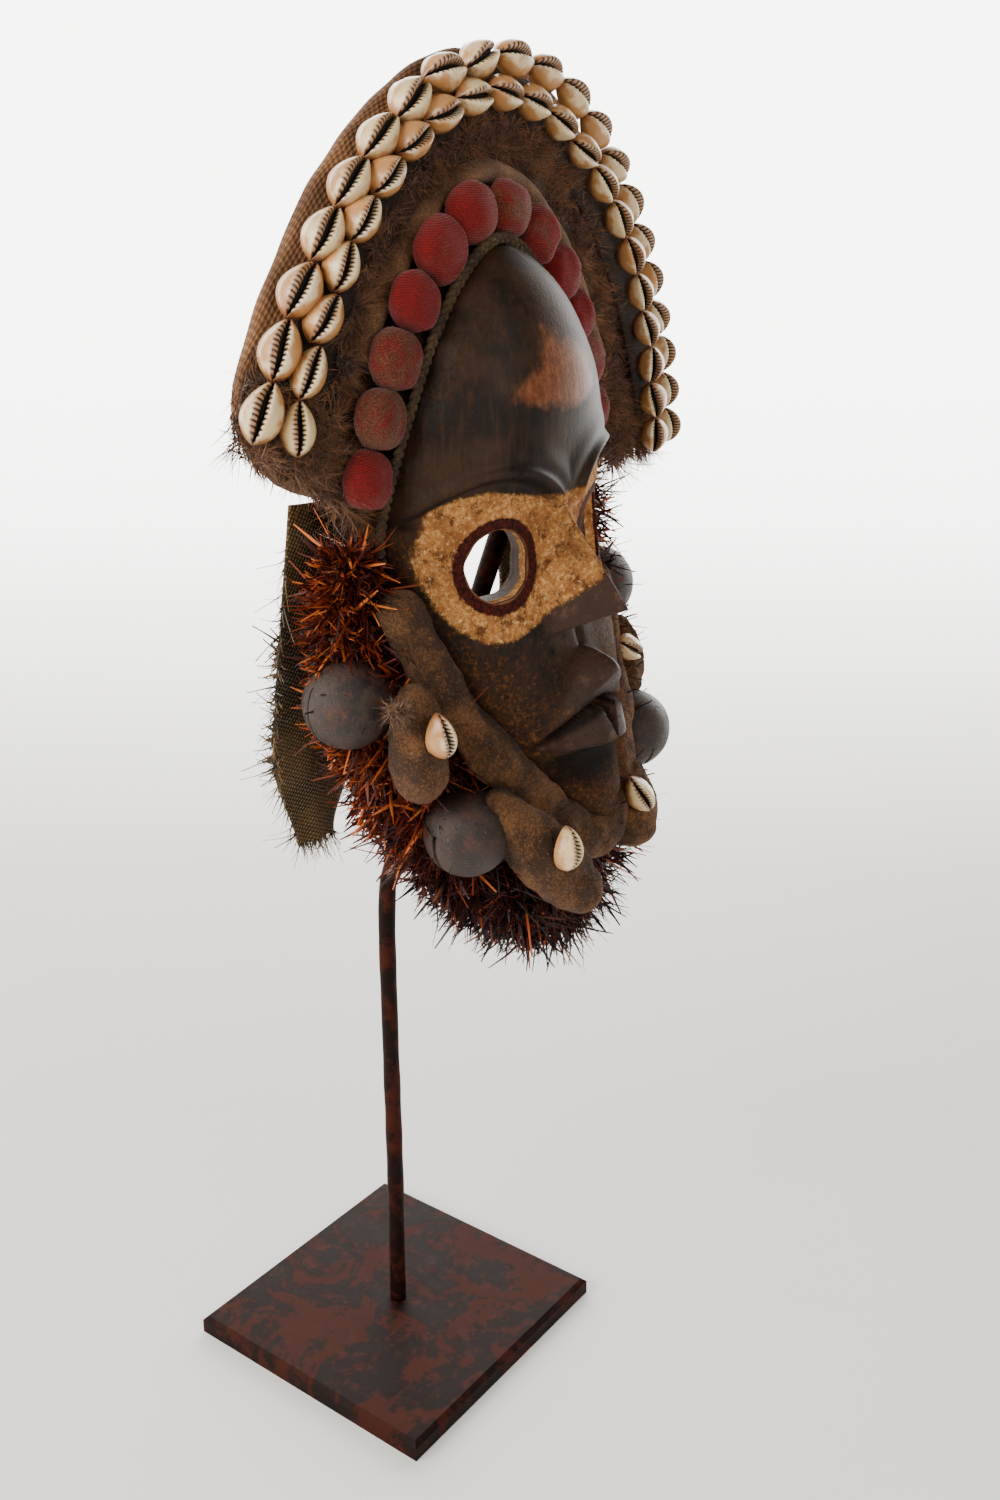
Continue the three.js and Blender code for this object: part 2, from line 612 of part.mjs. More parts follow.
// A hanging strip of twill behind the temple, wider towards its rounded end
function backCloth(side) {
  const rows = [0, 0.2, 0.4, 0.6, 0.78, 0.9, 1];
  const columns = [0, 0.5, 1];
  const surface = (column, row, back) => {
    const outer = mix(FLAP.outerTop, FLAP.outerLow, Math.sin(row * 2.2)) - 16 * ease(0.72, 1, row);
    const inner = FLAP.inner + 20 * ease(0.8, 1, row);
    const bow = 3 * Math.sin(column * Math.PI) + 2 * Math.sin(row * 5);
    const x = side * mix(inner, outer, column);
    return new THREE.Vector3(x, FLAP.y - bow + back * FLAP.thick, mix(FLAP.topZ, FLAP.endZ, row));
  };
  const front = (column, row) => surface(column, row, 0);
  const rear = (column, row) => surface(column, row, 1);
  return slab(front, rear, columns, rows);
}

addPiece("base_plate", basePlate(), "steel");
addPiece("stand_rod", standRod(), "steel");
addPiece("wooden_mask", woodenMask(), "wood", head);
addPiece("forehead_cord", foreheadCord(), "cord", head);
addPads();
addPiece("pad_backing_band", crestStrip(BAND, 18), "brown");
addPiece("stuffed_crest", crest(), "ribbed");
addPiece("crest_plush_lining", crestStrip(PLUSH, 15), "plush");
addPiece("outer_cowrie_row", cowrieRow(OUTER_ROW, 0.45, COWRIE), "shell");
addPiece("inner_cowrie_row", cowrieRow(INNER_ROW, -0.15, SMALL_COWRIE), "shell");
addPiece("jaw_roll", jawRoll(), "brown", head);
const rollWithGap = toSolid(jawRoll(ROLL.radius + GAP));
for (const spec of BELLS) addPiece(spec.name, bell(spec), "iron", head);
for (const spec of LOBES) addLobe(spec, rollWithGap);
addPiece("fibre_beard", beard(), "fibre", head);
addPiece("back_cloth_right", backCloth(-1), "twill");
addPiece("back_cloth_left", backCloth(1), "twill");

export default part;
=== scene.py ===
# %% [markdown]
# # A carved mask with a stuffed crest, on its stand
#
# The object is a dark wooden face with a stuffed cloth arch over it, rows of cowrie shells, red pads, iron
# bells and a beard of dry fibre. The solids of the part come in as a fixed frame; this notebook dresses
# them. Everything is worked out in millimetres and turned into metres at the very end, when a mesh is made.

# %% Load the frame
import math

import bmesh
import bpy
import numpy as np
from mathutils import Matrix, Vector


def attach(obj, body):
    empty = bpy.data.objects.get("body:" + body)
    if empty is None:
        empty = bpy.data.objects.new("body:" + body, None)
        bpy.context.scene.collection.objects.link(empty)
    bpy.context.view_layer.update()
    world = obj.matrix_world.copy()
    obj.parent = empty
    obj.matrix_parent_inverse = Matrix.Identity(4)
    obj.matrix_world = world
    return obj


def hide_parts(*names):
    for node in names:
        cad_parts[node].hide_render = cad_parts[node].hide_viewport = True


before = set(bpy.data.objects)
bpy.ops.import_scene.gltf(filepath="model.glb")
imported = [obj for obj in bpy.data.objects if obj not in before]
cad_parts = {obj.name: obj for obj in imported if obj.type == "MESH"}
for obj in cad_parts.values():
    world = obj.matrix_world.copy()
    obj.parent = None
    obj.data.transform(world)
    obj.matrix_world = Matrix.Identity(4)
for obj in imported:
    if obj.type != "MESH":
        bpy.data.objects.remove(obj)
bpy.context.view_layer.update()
MM = 0.001
PER_METRE = 1000

# %% [markdown]
# ## Camera
#
# The camera stands to the left of the mask and looks down a little. It is made first, so that every later
# step can be judged through it. A 35 mm lens on a full frame gives the mild perspective of the square plate.

# %% Camera
CAMERA_PLACE = (-0.49424, -0.43703, 0.5631)
TILT, HEADING = 70.465, -53.398


def put_in_scene(name, data):
    """A new object that carries this camera, lamp or mesh."""
    made = bpy.data.objects.new(name, data)
    bpy.context.scene.collection.objects.link(made)
    return made


camera = put_in_scene("camera", bpy.data.cameras.new("camera"))
camera.data.sensor_width = 36
camera.data.lens = 35
camera.location = CAMERA_PLACE
camera.rotation_euler = (math.radians(TILT), 0, math.radians(HEADING))
bpy.context.scene.camera = camera
print("camera at", tuple(camera.location))

# %% [markdown]
# ## Light
#
# The mask stands in plain soft daylight. Two broad area lamps on the left act as windows, a weak one behind
# on the right draws a bright line along the wood's edge, and one in front lifts the shadows. An area lamp is
# turned by pointing its back away from the target, because it shines along its own minus Z.

# %% Lamps and the light from all round
def soft_lamp(name, place, target, size, watts, tint):
    lamp = put_in_scene(name, bpy.data.lights.new(name, "AREA"))
    lamp.data.size = size
    lamp.data.energy = watts
    lamp.data.color = tint
    lamp.location = place
    away = lamp.location - Vector(target)
    lamp.rotation_euler = away.to_track_quat("Z", "Y").to_euler()


soft_lamp("window_left", (-1.5, 0.25, 1.25), (0, -0.02, 0.45), 0.9, 30, (1.0, 0.96, 0.9))
soft_lamp("window_left_back", (-1.25, 0.95, 1.0), (0, 0.0, 0.5), 0.9, 26, (1.0, 0.96, 0.9))
soft_lamp("window_behind", (0.95, 0.75, 0.95), (0, -0.08, 0.45), 0.8, 4, (0.98, 0.96, 0.94))
soft_lamp("front_fill", (-0.5, -1.7, 1.1), (0, -0.08, 0.42), 0.8, 15, (1.0, 0.95, 0.88))
world = bpy.data.worlds.new("room")
bpy.context.scene.world = world
world.use_nodes = True
air = world.node_tree.nodes["Background"]
air.inputs["Color"].default_value = (1.0, 0.97, 0.93, 1)
air.inputs["Strength"].default_value = 0.17
print("lamps:", sorted(lamp.name for lamp in bpy.data.lights))

# %% [markdown]
# ## Sums with sockets
#
# A finish is a small network of nodes. Written as sums it stays readable, so this class wraps a node's
# output and turns `1 - mask` or `ridge * 0.5` into Math nodes.

# %% A socket that can stand in a sum
class Amount:
    def __init__(self, finish, socket):
        self.finish = finish
        self.socket = socket

    def math(self, operation, first, second=0.0):
        return self.finish.node("ShaderNodeMath", {"operation": operation}, {0: first, 1: second})

    def __add__(self, other):
        return self.math("ADD", self, other)

    def __sub__(self, other):
        return self.math("SUBTRACT", self, other)

    def __rsub__(self, other):
        return self.math("SUBTRACT", other, self)

    def __mul__(self, other):
        return self.math("MULTIPLY", self, other)

    def sine(self):
        return self.math("SINE", self)

    def largest(self, other):
        return self.math("MAXIMUM", self, other)

    __radd__ = __add__
    __rmul__ = __mul__


print("an Amount knows", sum(callable(part) for part in vars(Amount).values()), "steps")


# %% [markdown]
# ## A finish
#
# One method adds any node from its type, its settings and the values or links of its sockets. The others are
# short names for the nodes that every finish here uses: place on the piece, noise, soft thresholds and
# colour blends. Blender's view transform greys dark tones, so a tone that is written down gets a little more
# chroma before use.

# %% Richer tones
CHROMA = 1.35


def rich(colour):
    """The same tone with more chroma; a socket is passed on as it is."""
    if not isinstance(colour, (tuple, list)):
        return colour
    grey = max(sum(colour) / 3, 1e-6)
    return tuple(grey * (tone / grey) ** CHROMA for tone in colour)


print("a brown of (0.06, 0.03, 0.015) is used as", [round(tone, 4) for tone in rich((0.06, 0.03, 0.015))])

# %% [markdown]
# ### The class
#
# A finish starts from a new material with Blender's principled shader. `node` is the only way in which nodes
# are made; `done` links colour, roughness and bump and sets the rest as numbers on the shader's own sockets.

# %% The finish class
class Finish:
    def __init__(self, name):
        self.material = bpy.data.materials.new(name)
        self.material.use_nodes = True
        self.tree = self.material.node_tree
        self.shader = self.tree.nodes["Principled BSDF"]

    def link(self, value, socket):
        if isinstance(value, Amount):
            self.tree.links.new(value.socket, socket)
        elif isinstance(value, (tuple, list)) and len(value) == 3 and socket.type == "RGBA":
            socket.default_value = (*value, 1)
        else:
            socket.default_value = value

    def node(self, kind, settings=None, inputs=None, output=0):
        node = self.tree.nodes.new(kind)
        for name, value in (settings or {}).items():
            setattr(node, name, value)
        for name, value in (inputs or {}).items():
            self.link(value, node.inputs[name])
        return Amount(self, node.outputs[output])

    def place(self, scale=(1, 1, 1)):
        """The place on the piece itself, in millimetres."""
        where = self.node("ShaderNodeTexCoord", output=3)
        size = tuple(PER_METRE * s for s in scale)
        return self.node("ShaderNodeVectorMath", {"operation": "MULTIPLY"}, {0: where, 1: size})

    def noise(self, size, detail=3, rough=0.55, scale=(1, 1, 1), bend=0.0):
        where = self.place(tuple(s / size for s in scale))
        return self.node("ShaderNodeTexNoise", {}, {"Vector": where, "Scale": 1.0, "Detail": detail,
                                                     "Roughness": rough, "Distortion": bend})

    def cells(self, size, chance=1.0):
        where = self.place([1 / size] * 3)
        return self.node("ShaderNodeTexVoronoi", {}, {"Vector": where, "Scale": 1.0, "Randomness": chance})

    def stored(self, name):
        return self.node("ShaderNodeAttribute", {"attribute_name": name}, output=2)

    def weave_map(self):
        """The place along and across a cloth, in metres."""
        uv = self.node("ShaderNodeUVMap", {"uv_map": "weave"})
        return [self.node("ShaderNodeSeparateXYZ", {}, {0: uv}, output=part) for part in (0, 1)]

    def ramp(self, value, low, high):
        kind = {"interpolation_type": "SMOOTHSTEP"}
        return self.node("ShaderNodeMapRange", kind, {0: value, 1: low, 2: high, 3: 0.0, 4: 1.0})

    def blend(self, mask, first, second, kind="MIX"):
        settings = {"data_type": "RGBA", "blend_type": kind}
        return self.node("ShaderNodeMix", settings, {0: mask, 6: rich(first), 7: rich(second)}, output=2)

    def bump(self, height, deep, strength=1.0):
        inputs = {"Height": height, "Strength": strength, "Distance": deep * MM}
        return self.node("ShaderNodeBump", {}, inputs)

    def done(self, colour, rough, normal=None, **same):
        self.link(colour, self.shader.inputs["Base Color"])
        self.link(rough, self.shader.inputs["Roughness"])
        if normal is not None:
            self.link(normal, self.shader.inputs["Normal"])
        for name, value in same.items():
            self.link(value, self.shader.inputs[name.replace("_", " ")])
        return self.material


print("a finish can use:", [name for name in vars(Finish) if not name.startswith("_")])


# %% [markdown]
# ## Meshes from arrays
#
# Every piece is a grid of points that a formula lays out, so one helper joins neighbouring points into quads
# and another turns points and faces into an object that rides on the part.

# %% Mesh helpers
def grid_faces(rows, columns, round_rows=False, round_columns=False):
    i = np.arange(rows if round_rows else rows - 1)
    j = np.arange(columns if round_columns else columns - 1)
    i, j = np.meshgrid(i, j, indexing="ij")
    below, beside = (i + 1) % rows, (j + 1) % columns
    quads = [i * columns + j, i * columns + beside, below * columns + beside, below * columns + j]
    return np.stack(quads, -1).reshape(-1, 4)


def new_mesh(name, points, faces):
    mesh = bpy.data.meshes.new(name)
    mesh.from_pydata((np.asarray(points) * MM).tolist(), [], [list(face) for face in faces])
    mesh.update()
    return mesh


def tube_faces(rings, around):
    """Quads between rings of points, and a cap on each end."""
    caps = [list(range(around)), list(range((rings - 1) * around, rings * around))[::-1]]
    return grid_faces(rings, around, round_columns=True).tolist() + caps


def add_piece(name, mesh, material, nodes=()):
    mesh.polygons.foreach_set("use_smooth", [True] * len(mesh.polygons))
    mesh.materials.append(material)
    piece = put_in_scene(name, mesh)
    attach(piece, "root")
    if nodes:
        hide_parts(*nodes)
    print(name, len(mesh.vertices), "points")
    return piece


def store(mesh, name, values):
    mesh.attributes.new(name, "FLOAT", "POINT").data.foreach_set("value", np.asarray(values, np.float32))


def points_of(mesh):
    flat = np.zeros(len(mesh.vertices) * 3)
    mesh.vertices.foreach_get("co", flat)
    return flat.reshape(-1, 3) / MM


def face_outward(mesh):
    work = bmesh.new()
    work.from_mesh(mesh)
    bmesh.ops.recalc_face_normals(work, faces=work.faces)
    work.to_mesh(mesh)
    work.free()


def closed_mesh(name, rings):
    """A mesh round rings of points, closed at both ends."""
    mesh = new_mesh(name, rings.reshape(-1, 3), tube_faces(*rings.shape[:2]))
    face_outward(mesh)
    return mesh


print("a tube of 3 rings of 8 points has", len(tube_faces(3, 8)), "faces")

# %% [markdown]
# ## Small sums that every piece needs
#
# `mix` goes from one value to another, `ease` does so with a soft start and end, and `wobble` adds up a few
# sine waves that run in random directions. A seed picks the directions, so the piece comes out the same each
# time.

# %% Helpers for numbers
def unit(vectors):
    return vectors / np.maximum(np.linalg.norm(vectors, axis=-1, keepdims=True), 1e-9)


def mix(a, b, share):
    return a + (b - a) * share


def ease(low, high, value):
    t = np.clip((value - low) / (high - low), 0, 1)
    return t * t * (3 - 2 * t)


WAVES, FULL_TURN = 9, 6.283


def wobble(points, size, seed):
    """Smooth waves in all directions, about one high, that stand in for the unevenness of handwork."""
    chance = np.random.default_rng(seed)
    total = 0
    for _ in range(WAVES):
        way = unit(chance.normal(size=3))
        wave = points @ way * (FULL_TURN / size) * chance.uniform(0.6, 1.7)
        total = total + np.sin(wave + chance.uniform(0, 6.28))
    return total / 3


print("a wobble at three places:", wobble(np.eye(3) * 5, 10, 1).round(2))


# %% [markdown]
# ## The solids' own formulas
#
# The fine pieces have to lie where the solids are, so they use the same outline, the same depths and the
# same two crest ellipses, only with many more points. The wood leans about a level, and all that is tied to
# it leans too.

# %% Outline and depths
LEAN, LEVEL = 0.088, 450
SINE, COSINE = math.sin(-LEAN), math.cos(-LEAN)
HALF_WIDTH, WIDE_Z, UP, DOWN, UP_POWER, DOWN_POWER = 64.5, 447, 112.5, 127, 1.7, 1.4
REAR_RIM = [[320, -84], [360, -68], [400, -54], [440, -46], [470, -44], [560, -50]]
EDGE = [[320, -114], [335, -108.5], [345, -104], [356, -97.6], [369, -91.5], [384, -85.7], [398, -79],
        [413, -71.5], [428, -65], [445, -61], [458, -61.5], [478, -66], [504, -71.5], [533, -75],
        [560, -77.5]]
MIDDLE = [[320, -120], [326, -123], [334, -123.5], [342, -120], [350, -117], [362, -117], [378, -115],
          [392, -111.5], [405, -108], [420, -103], [437, -100], [450, -102], [462, -105.5], [475, -106],
          [507, -107], [530, -101.5], [543, -95.5], [552, -88], [560, -79]]


def lean(points):
    """Turns upright points to the wood's lean."""
    x, y, z = points[..., 0], points[..., 1], points[..., 2] - LEVEL
    return np.stack([x * COSINE + z * SINE, y, LEVEL - x * SINE + z * COSINE], -1)


def straighten(points):
    """Turns leaning points upright again."""
    x, y, z = points[..., 0], points[..., 1], points[..., 2] - LEVEL
    return np.stack([x * COSINE - z * SINE, y, LEVEL + x * SINE + z * COSINE], -1)


print("the wood leans", round(math.degrees(LEAN), 2), "degrees about z", LEVEL)

# %% [markdown]
# ### Reading the tables
#
# Depths are given at a few heights, and `along` runs a smooth curve through them. The outline is a
# superellipse, a circle whose powers were changed until it fitted; `outline` can also step outward from it,
# square to its edge.

# %% Outline of the wood
def along(stations, place):
    """A smooth curve through pairs of place and value."""
    where, value = np.array(stations, float).T
    last = len(where) - 1
    after, before = np.minimum(np.arange(last + 1) + 1, last), np.maximum(np.arange(last + 1) - 1, 0)
    slope = (value[after] - value[before]) / (where[after] - where[before])
    at = np.clip(place, where[0], where[-1])
    k = np.clip(np.searchsorted(where, at), 1, last)
    length = where[k] - where[k - 1]
    t = (at - where[k - 1]) / length
    bend = (t - 1) ** 2 * t * length * slope[k - 1] + t * t * (t - 1) * length * slope[k]
    return mix(value[k - 1], value[k], t * t * (3 - 2 * t)) + bend


def outline(angle, out=0.0):
    """x and z on the wood's edge, or so many millimetres outside it."""
    def place(a):
        low = np.cos(a) < 0
        power = 2 / np.where(low, DOWN_POWER, UP_POWER)
        across, high = np.sin(a), np.cos(a)
        x = HALF_WIDTH * np.sign(across) * np.abs(across) ** power
        return x, WIDE_Z + np.where(low, DOWN, UP) * np.sign(high) * np.abs(high) ** power

    x, z = place(angle)
    (ax, az), (bx, bz) = place(angle - 0.01), place(angle + 0.01)
    length = np.hypot(bx - ax, bz - az)
    return x - out * (bz - az) / length, z + out * (bx - ax) / length


def half_width(z):
    """Half the wood's width at a height."""
    high = z > WIDE_Z
    power = np.where(high, UP_POWER, DOWN_POWER)
    share = np.clip(np.abs(z - WIDE_Z) / np.where(high, UP, DOWN), 0, 1)
    return HALF_WIDTH * np.maximum(0, 1 - share ** power) ** (1 / power)


def plain_front(x, z):
    """The smooth front of the shell, before nose and lips are added."""
    across = np.clip(np.abs(x) / np.maximum(1, half_width(z)), 0, 1)
    return mix(along(EDGE, z), along(MIDDLE, z), np.sqrt(1 - across ** 2.1))


print("face from z", WIDE_Z - DOWN, "to", WIDE_Z + UP)

# %% [markdown]
# ## The crest's own formulas
#
# Both rows of shells lie on ellipses, and the crest is stretched between the wood's rim and the outer
# ellipse. A place on it is an angle along the rim, a share of the way out and a depth. The whole arch is
# turned and rolled a little, because the real one has sagged to one side.

# %% Crest formulas
CREST_TURN, CREST_ROLL, RIM_END, OUTER_END = 0.06, 0.11, 1.44, 1.14
SEAM_DEPTH, SEAM_SHARE = -61.6, 0.45
OUTER_ROW = {"half": 149.5, "tall": 272, "z": 358, "y": -57, "end": 1.07, "count": 21, "crowd": 0.16}
INNER_ROW = {"half": 117, "tall": 187, "z": 428.5, "y": -63, "end": 1.27, "count": 21, "crowd": 0.12}
CREST_FRONT = [[0.01, SEAM_DEPTH], [0.28, SEAM_DEPTH], [0.5, -56.8], [0.68, -55.4], [0.84, -51.4],
               [0.94, -47], [1, -43]]
CREST_BACK = [[0.96, -36], [0.82, -31], [0.62, -29], [0.45, -36], [0.01, -54]]


def row_point(row, angle, out=0.0):
    across, z = (row["half"] + out) * np.sin(angle), (row["tall"] + out) * np.cos(angle)
    x = across * math.cos(CREST_ROLL) + z * math.sin(CREST_ROLL)
    z = z * math.cos(CREST_ROLL) - across * math.sin(CREST_ROLL)
    return np.stack([x * math.cos(CREST_TURN), row["y"] - x * math.sin(CREST_TURN), z + row["z"]], -1)


def crest_span(rim_angle):
    """The two ends of the crest's section at an angle: on the wood's rim and on the outer ellipse."""
    x, z = outline(rim_angle, 0.6)
    rim = lean(np.stack([x, along(EDGE, z) + 12.4, z], -1))
    angle = rim_angle * OUTER_END / RIM_END
    return rim, row_point(OUTER_ROW, angle, 5 * np.cos(angle))


def crest_point(rim_angle, share, depth):
    rim, outer = crest_span(rim_angle)
    web = np.clip(1 - share / SEAM_SHARE, 0, None)
    y = depth + (outer[..., 1] - OUTER_ROW["y"]) * share + web * (rim[..., 1] - SEAM_DEPTH)
    return np.stack([mix(rim[..., 0], outer[..., 0], share), y, mix(rim[..., 2], outer[..., 2], share)], -1)


def crest_width(rim_angle):
    rim, outer = crest_span(rim_angle)
    return np.hypot(outer[..., 0] - rim[..., 0], outer[..., 2] - rim[..., 2])


def over_crest(rim_angle, out, height=0.0):
    """A point on the crest's front, so many millimetres out from the rim and above the cloth."""
    share = out / crest_width(rim_angle)
    shares, depths = np.array(CREST_FRONT).T
    return crest_point(rim_angle, share, np.interp(share, shares, depths) - height)


def evenly(point_at, end, count, crowd=0.0):
    """Angles of points that stand evenly along a curve, or crowded a little towards its start."""
    angles = np.linspace(-end, end, 241)
    steps = np.linalg.norm(np.diff(point_at(angles), axis=0), axis=-1)
    run = np.concatenate([[0], np.cumsum(steps)])
    share = np.linspace(0, 1, count)
    return np.interp(run[-1] * (share + crowd * share * (1 - share)), run, angles)


print("crest top at", row_point(OUTER_ROW, np.array(0.0)).round(1))

# %% [markdown]
# ## The carved face
#
# The real face is one piece of wood. Its front is a smooth curved shell, and nose and lips are simple wedges
# that the carver left standing, with the corners between them softened by the knife. So the front is a
# height over the outline: the shell, then each wedge joined to it with a small fillet, then the gap of the
# mouth cut in.

# %% Corners of the wedges
NOSE = [[0, -103, 459], [5, -100, 457], [0, -134.5, 418], [21, -101, 406], [12, -96, 440], [18, -94, 408]]
UPPER_LIP = [[0, -112, 399], [0, -127.5, 395.5], [0, -131.8, 389.5], [5, -130.6, 388], [15, -112, 389],
             [33, -107.5, 363.4], [0, -124, 378.5], [9, -122, 376.5], [19, -116, 370.5], [14, -104, 386],
             [26, -101, 366]]
LOWER_LIP = [[0, -129.5, 356.5], [8, -127.6, 356.6], [32.5, -107.5, 362], [9, -123, 374.5],
             [18, -116.5, 369.5], [9, -106, 373], [10, -106, 357], [26, -100, 362.5]]


print("corners:", len(NOSE), "for the nose,", len(UPPER_LIP), "and", len(LOWER_LIP), "for the lips")

# %% [markdown]
# ### From corners to a height
#
# A wedge is the hull of its corners and their mirror images. Each plane of the hull that looks forward gives
# a height, and the highest of them is the wedge's surface. A soft maximum in place of the plain one rounds
# its edges.

# %% Wedges as heights
EDGE_ON = 0.05


def hull_planes(corners):
    """The planes round a wedge: three numbers for the way each looks and one for how far out it is."""
    both = {(side * x, y, z) for x, y, z in corners for side in (-1, 1)}
    work = bmesh.new()
    hull = bmesh.ops.convex_hull(work, input=[work.verts.new(corner) for corner in sorted(both)])
    bmesh.ops.recalc_face_normals(work, faces=work.faces)
    planes = [(*face.normal, face.normal.dot(face.verts[0].co)) for face in work.faces]
    work.free()
    return planes


def wedge_height(corners, x, z, soft):
    """How far forward a wedge reaches, with rounded edges; outside its outline it falls away steeply."""
    heights, behind, spill = [], np.full(x.shape, 1e3), np.zeros(x.shape)
    for nx, ny, nz, reach in hull_planes(corners):
        if abs(ny) < EDGE_ON:
            spill = np.maximum(spill, nx * x + nz * z - reach)
        elif ny < 0:
            heights.append((reach - nx * x - nz * z) / ny)
        else:
            behind = np.minimum(behind, (reach - nx * x - nz * z) / ny)
    heights = np.array(heights)
    sharp = heights.max(axis=0)
    ahead = sharp + soft * np.log(np.exp((heights - sharp) / soft).sum(axis=0))
    return ahead + 6 * np.maximum(spill, np.maximum(0, sharp - behind))


def join(first, second, fillet):
    """The further forward of two fronts, with a fillet where they meet."""
    near = np.maximum(fillet - np.abs(first - second), 0) / fillet
    return np.minimum(first, second) - near * near * fillet * 0.25


print("planes round the nose:", len(hull_planes(NOSE)))

# %% [markdown]
# ### Brows, mouth and grooves
#
# Softer forms are bell curves: a raised moulding over each eye, the hollow round it, the groove under the
# nose and the line where the lips meet. Each is a height that is added to the front, so their order hardly
# matters.

# %% The whole front
BROW_X, BROW_Z, BROW_SQUASH = 36, 447, 0.92


def from_brow(x, z):
    """How far a place is from the middle of the brow's arch."""
    return np.hypot((np.abs(x) - BROW_X) * BROW_SQUASH, z - BROW_Z)


def brow(x, z):
    """A raised moulding arched over each eye, and the hollow that the eye lies in."""
    far, high = from_brow(x, z), z - BROW_Z
    arch = ease(9, 17, high)
    ridge = 3.4 * np.exp(-((far - 31.5) / 2.3) ** 2) * arch
    hollow = 3.0 * (1 - ease(26.5, 29.2, far)) * ease(-16, 12, high)
    crown = 1.3 * np.exp(-((far - 38) / 5.0) ** 2) * arch
    return ridge + crown - hollow


def face_front(x, z):
    """The wood's front with all that is carved on it; smaller numbers are further forward."""
    front = plain_front(x, z) - brow(x, z)
    front = join(front, wedge_height(NOSE, x, z, 0.6) + 0.3, 5.0)
    upper = wedge_height(UPPER_LIP, x, z, 2.1) + 0.2
    front = join(front, upper, mix(5.0, 17.0, ease(378, 396, z)))
    front = join(front, wedge_height(LOWER_LIP, x, z, 0.9) + 0.3, 1.6)
    high = (z - 359.5) / 17.5
    gap = ease(0, 1.4, 5.6 * high - np.abs(x)) * ease(1.03, 0.97, high)
    front = front + gap * np.maximum(0, -110 - front)
    # A groove from the nose to the lip, the shadow line where the lips meet, and the hollow under them
    front = front + 1.4 * np.exp(-(x / 2.0) ** 2) * ease(396, 400, z) * ease(409, 405, z)
    seam = z - (377.5 - 0.42 * np.abs(x))
    front = front + 2.4 * np.exp(-(seam / 1.2) ** 2) * ease(31, 24, np.abs(x)) * ease(5, 9, np.abs(x))
    under = np.exp(-((z - 348) / 7.0) ** 2 - (x / 19.0) ** 2)
    return front + 2.6 * under


print("nose tip reaches", face_front(np.array([0.0]), np.array([418.0])).round(1))

# %% [markdown]
# ## The face as a mesh
#
# Rows of points run across the front at each height, then round the edge to the rear rim, over it and
# through the hollow back to the start, so that every row is one closed loop. More points stand near the
# sides, where the wood turns away. The mask is a shell of even thickness, as a worn mask has to be.

# %% Face points
WALL = 12


def face_points():
    rows, columns = ((272, 156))
    z = np.linspace(WIDE_Z + UP - 0.6, WIDE_Z - DOWN + 1.2, rows)[:, None]
    u = np.linspace(-1, 1, columns)[None]
    share = 0.45 * u + 0.55 * np.sin(u * np.pi / 2)
    x, z = share * half_width(z), z + 0 * share
    front = np.stack([x, face_front(x, z), z], -1)
    # From the front's edge back to the rear rim, over the rim and into the hollow
    rim = np.stack([x, along(REAR_RIM, z), z], -1)
    shrunk = WIDE_Z + (z - WIDE_Z) * (1 - WALL / UP)
    inner_x = share * 0.96 * np.maximum(0.4, half_width(z) - 9)
    inside = np.minimum(-53, plain_front(x * 0.96, z) + WALL)
    hollow = np.stack([inner_x, inside, shrunk], -1)
    hollow_rim = np.stack([inner_x, along(REAR_RIM, z), shrunk], -1)

    def across(first, second, steps):
        return [mix(first, second, k / steps) for k in range(1, steps)]

    right = across(front[:, -1], rim[:, -1], 8) + across(rim[:, -1], hollow_rim[:, -1], 5)
    right += across(hollow_rim[:, -1], hollow[:, -1], 6)
    left = across(hollow[:, 0], hollow_rim[:, 0], 6) + across(hollow_rim[:, 0], rim[:, 0], 5)
    left += across(rim[:, 0], front[:, 0], 8)
    thinned = hollow[:, ::-3]
    loops = [front, np.stack(right, 1), thinned, np.stack(left, 1)]
    return np.concatenate(loops, 1)


shell = face_points()
print("face rings and points round each:", shell.shape[:2])

# %% [markdown]
# ### Cutting
#
# The eyes are bored right through. Blender's Boolean modifier takes one closed mesh away from another; the
# bore is a short cylinder that is a little out of round, because the real holes were cut by hand.

# %% Eyes cut through the shell
def applied(body):
    """The mesh of an object once its modifiers have been worked out."""
    drawn = body.evaluated_get(bpy.context.evaluated_depsgraph_get())
    return bpy.data.meshes.new_from_object(drawn)


def cut_with(mesh, cutters):
    """The mesh with other closed meshes taken away."""
    body = put_in_scene("body", mesh)
    for cutter in cutters:
        step = body.modifiers.new("cut", "BOOLEAN")
        step.operation, step.solver, step.object = "DIFFERENCE", "EXACT", put_in_scene("tool", cutter)
    result = applied(body)
    for made in [step.object for step in body.modifiers] + [body]:
        bpy.data.objects.remove(made)
    return result


EYE = {"x": 34, "y": -94, "z": 440, "radius": 14.8, "turn": 0.32}
BORE_SIDES, BORE_REACH = 72, 35


def eye_axis(side):
    """The way that an eye's hole runs; it turns a little outward."""
    return np.array([math.sin(side * -EYE["turn"]), math.cos(EYE["turn"]), 0])


def eye_bore(side):
    turn = np.linspace(0, 2 * np.pi, BORE_SIDES, endpoint=False)
    axis = eye_axis(side)
    sideways = np.array([axis[1], -axis[0], 0])
    ring = np.cos(turn)[:, None] * sideways + np.sin(turn)[:, None] * np.array([0, 0, 1.0])
    ring = ring * (EYE["radius"] + 0.25 * np.sin(turn * 5 + side) + 0.2 * np.sin(turn * 9))[:, None]
    middle = np.array([side * EYE["x"], EYE["y"], EYE["z"]])
    rings = np.stack([middle + ring + axis * -BORE_REACH, middle + ring + axis * BORE_REACH])
    return closed_mesh("bore", lean(rings))


face_mesh = cut_with(closed_mesh("carved_face", lean(shell)), [eye_bore(-1), eye_bore(1)])
print("face:", len(face_mesh.polygons), "faces")

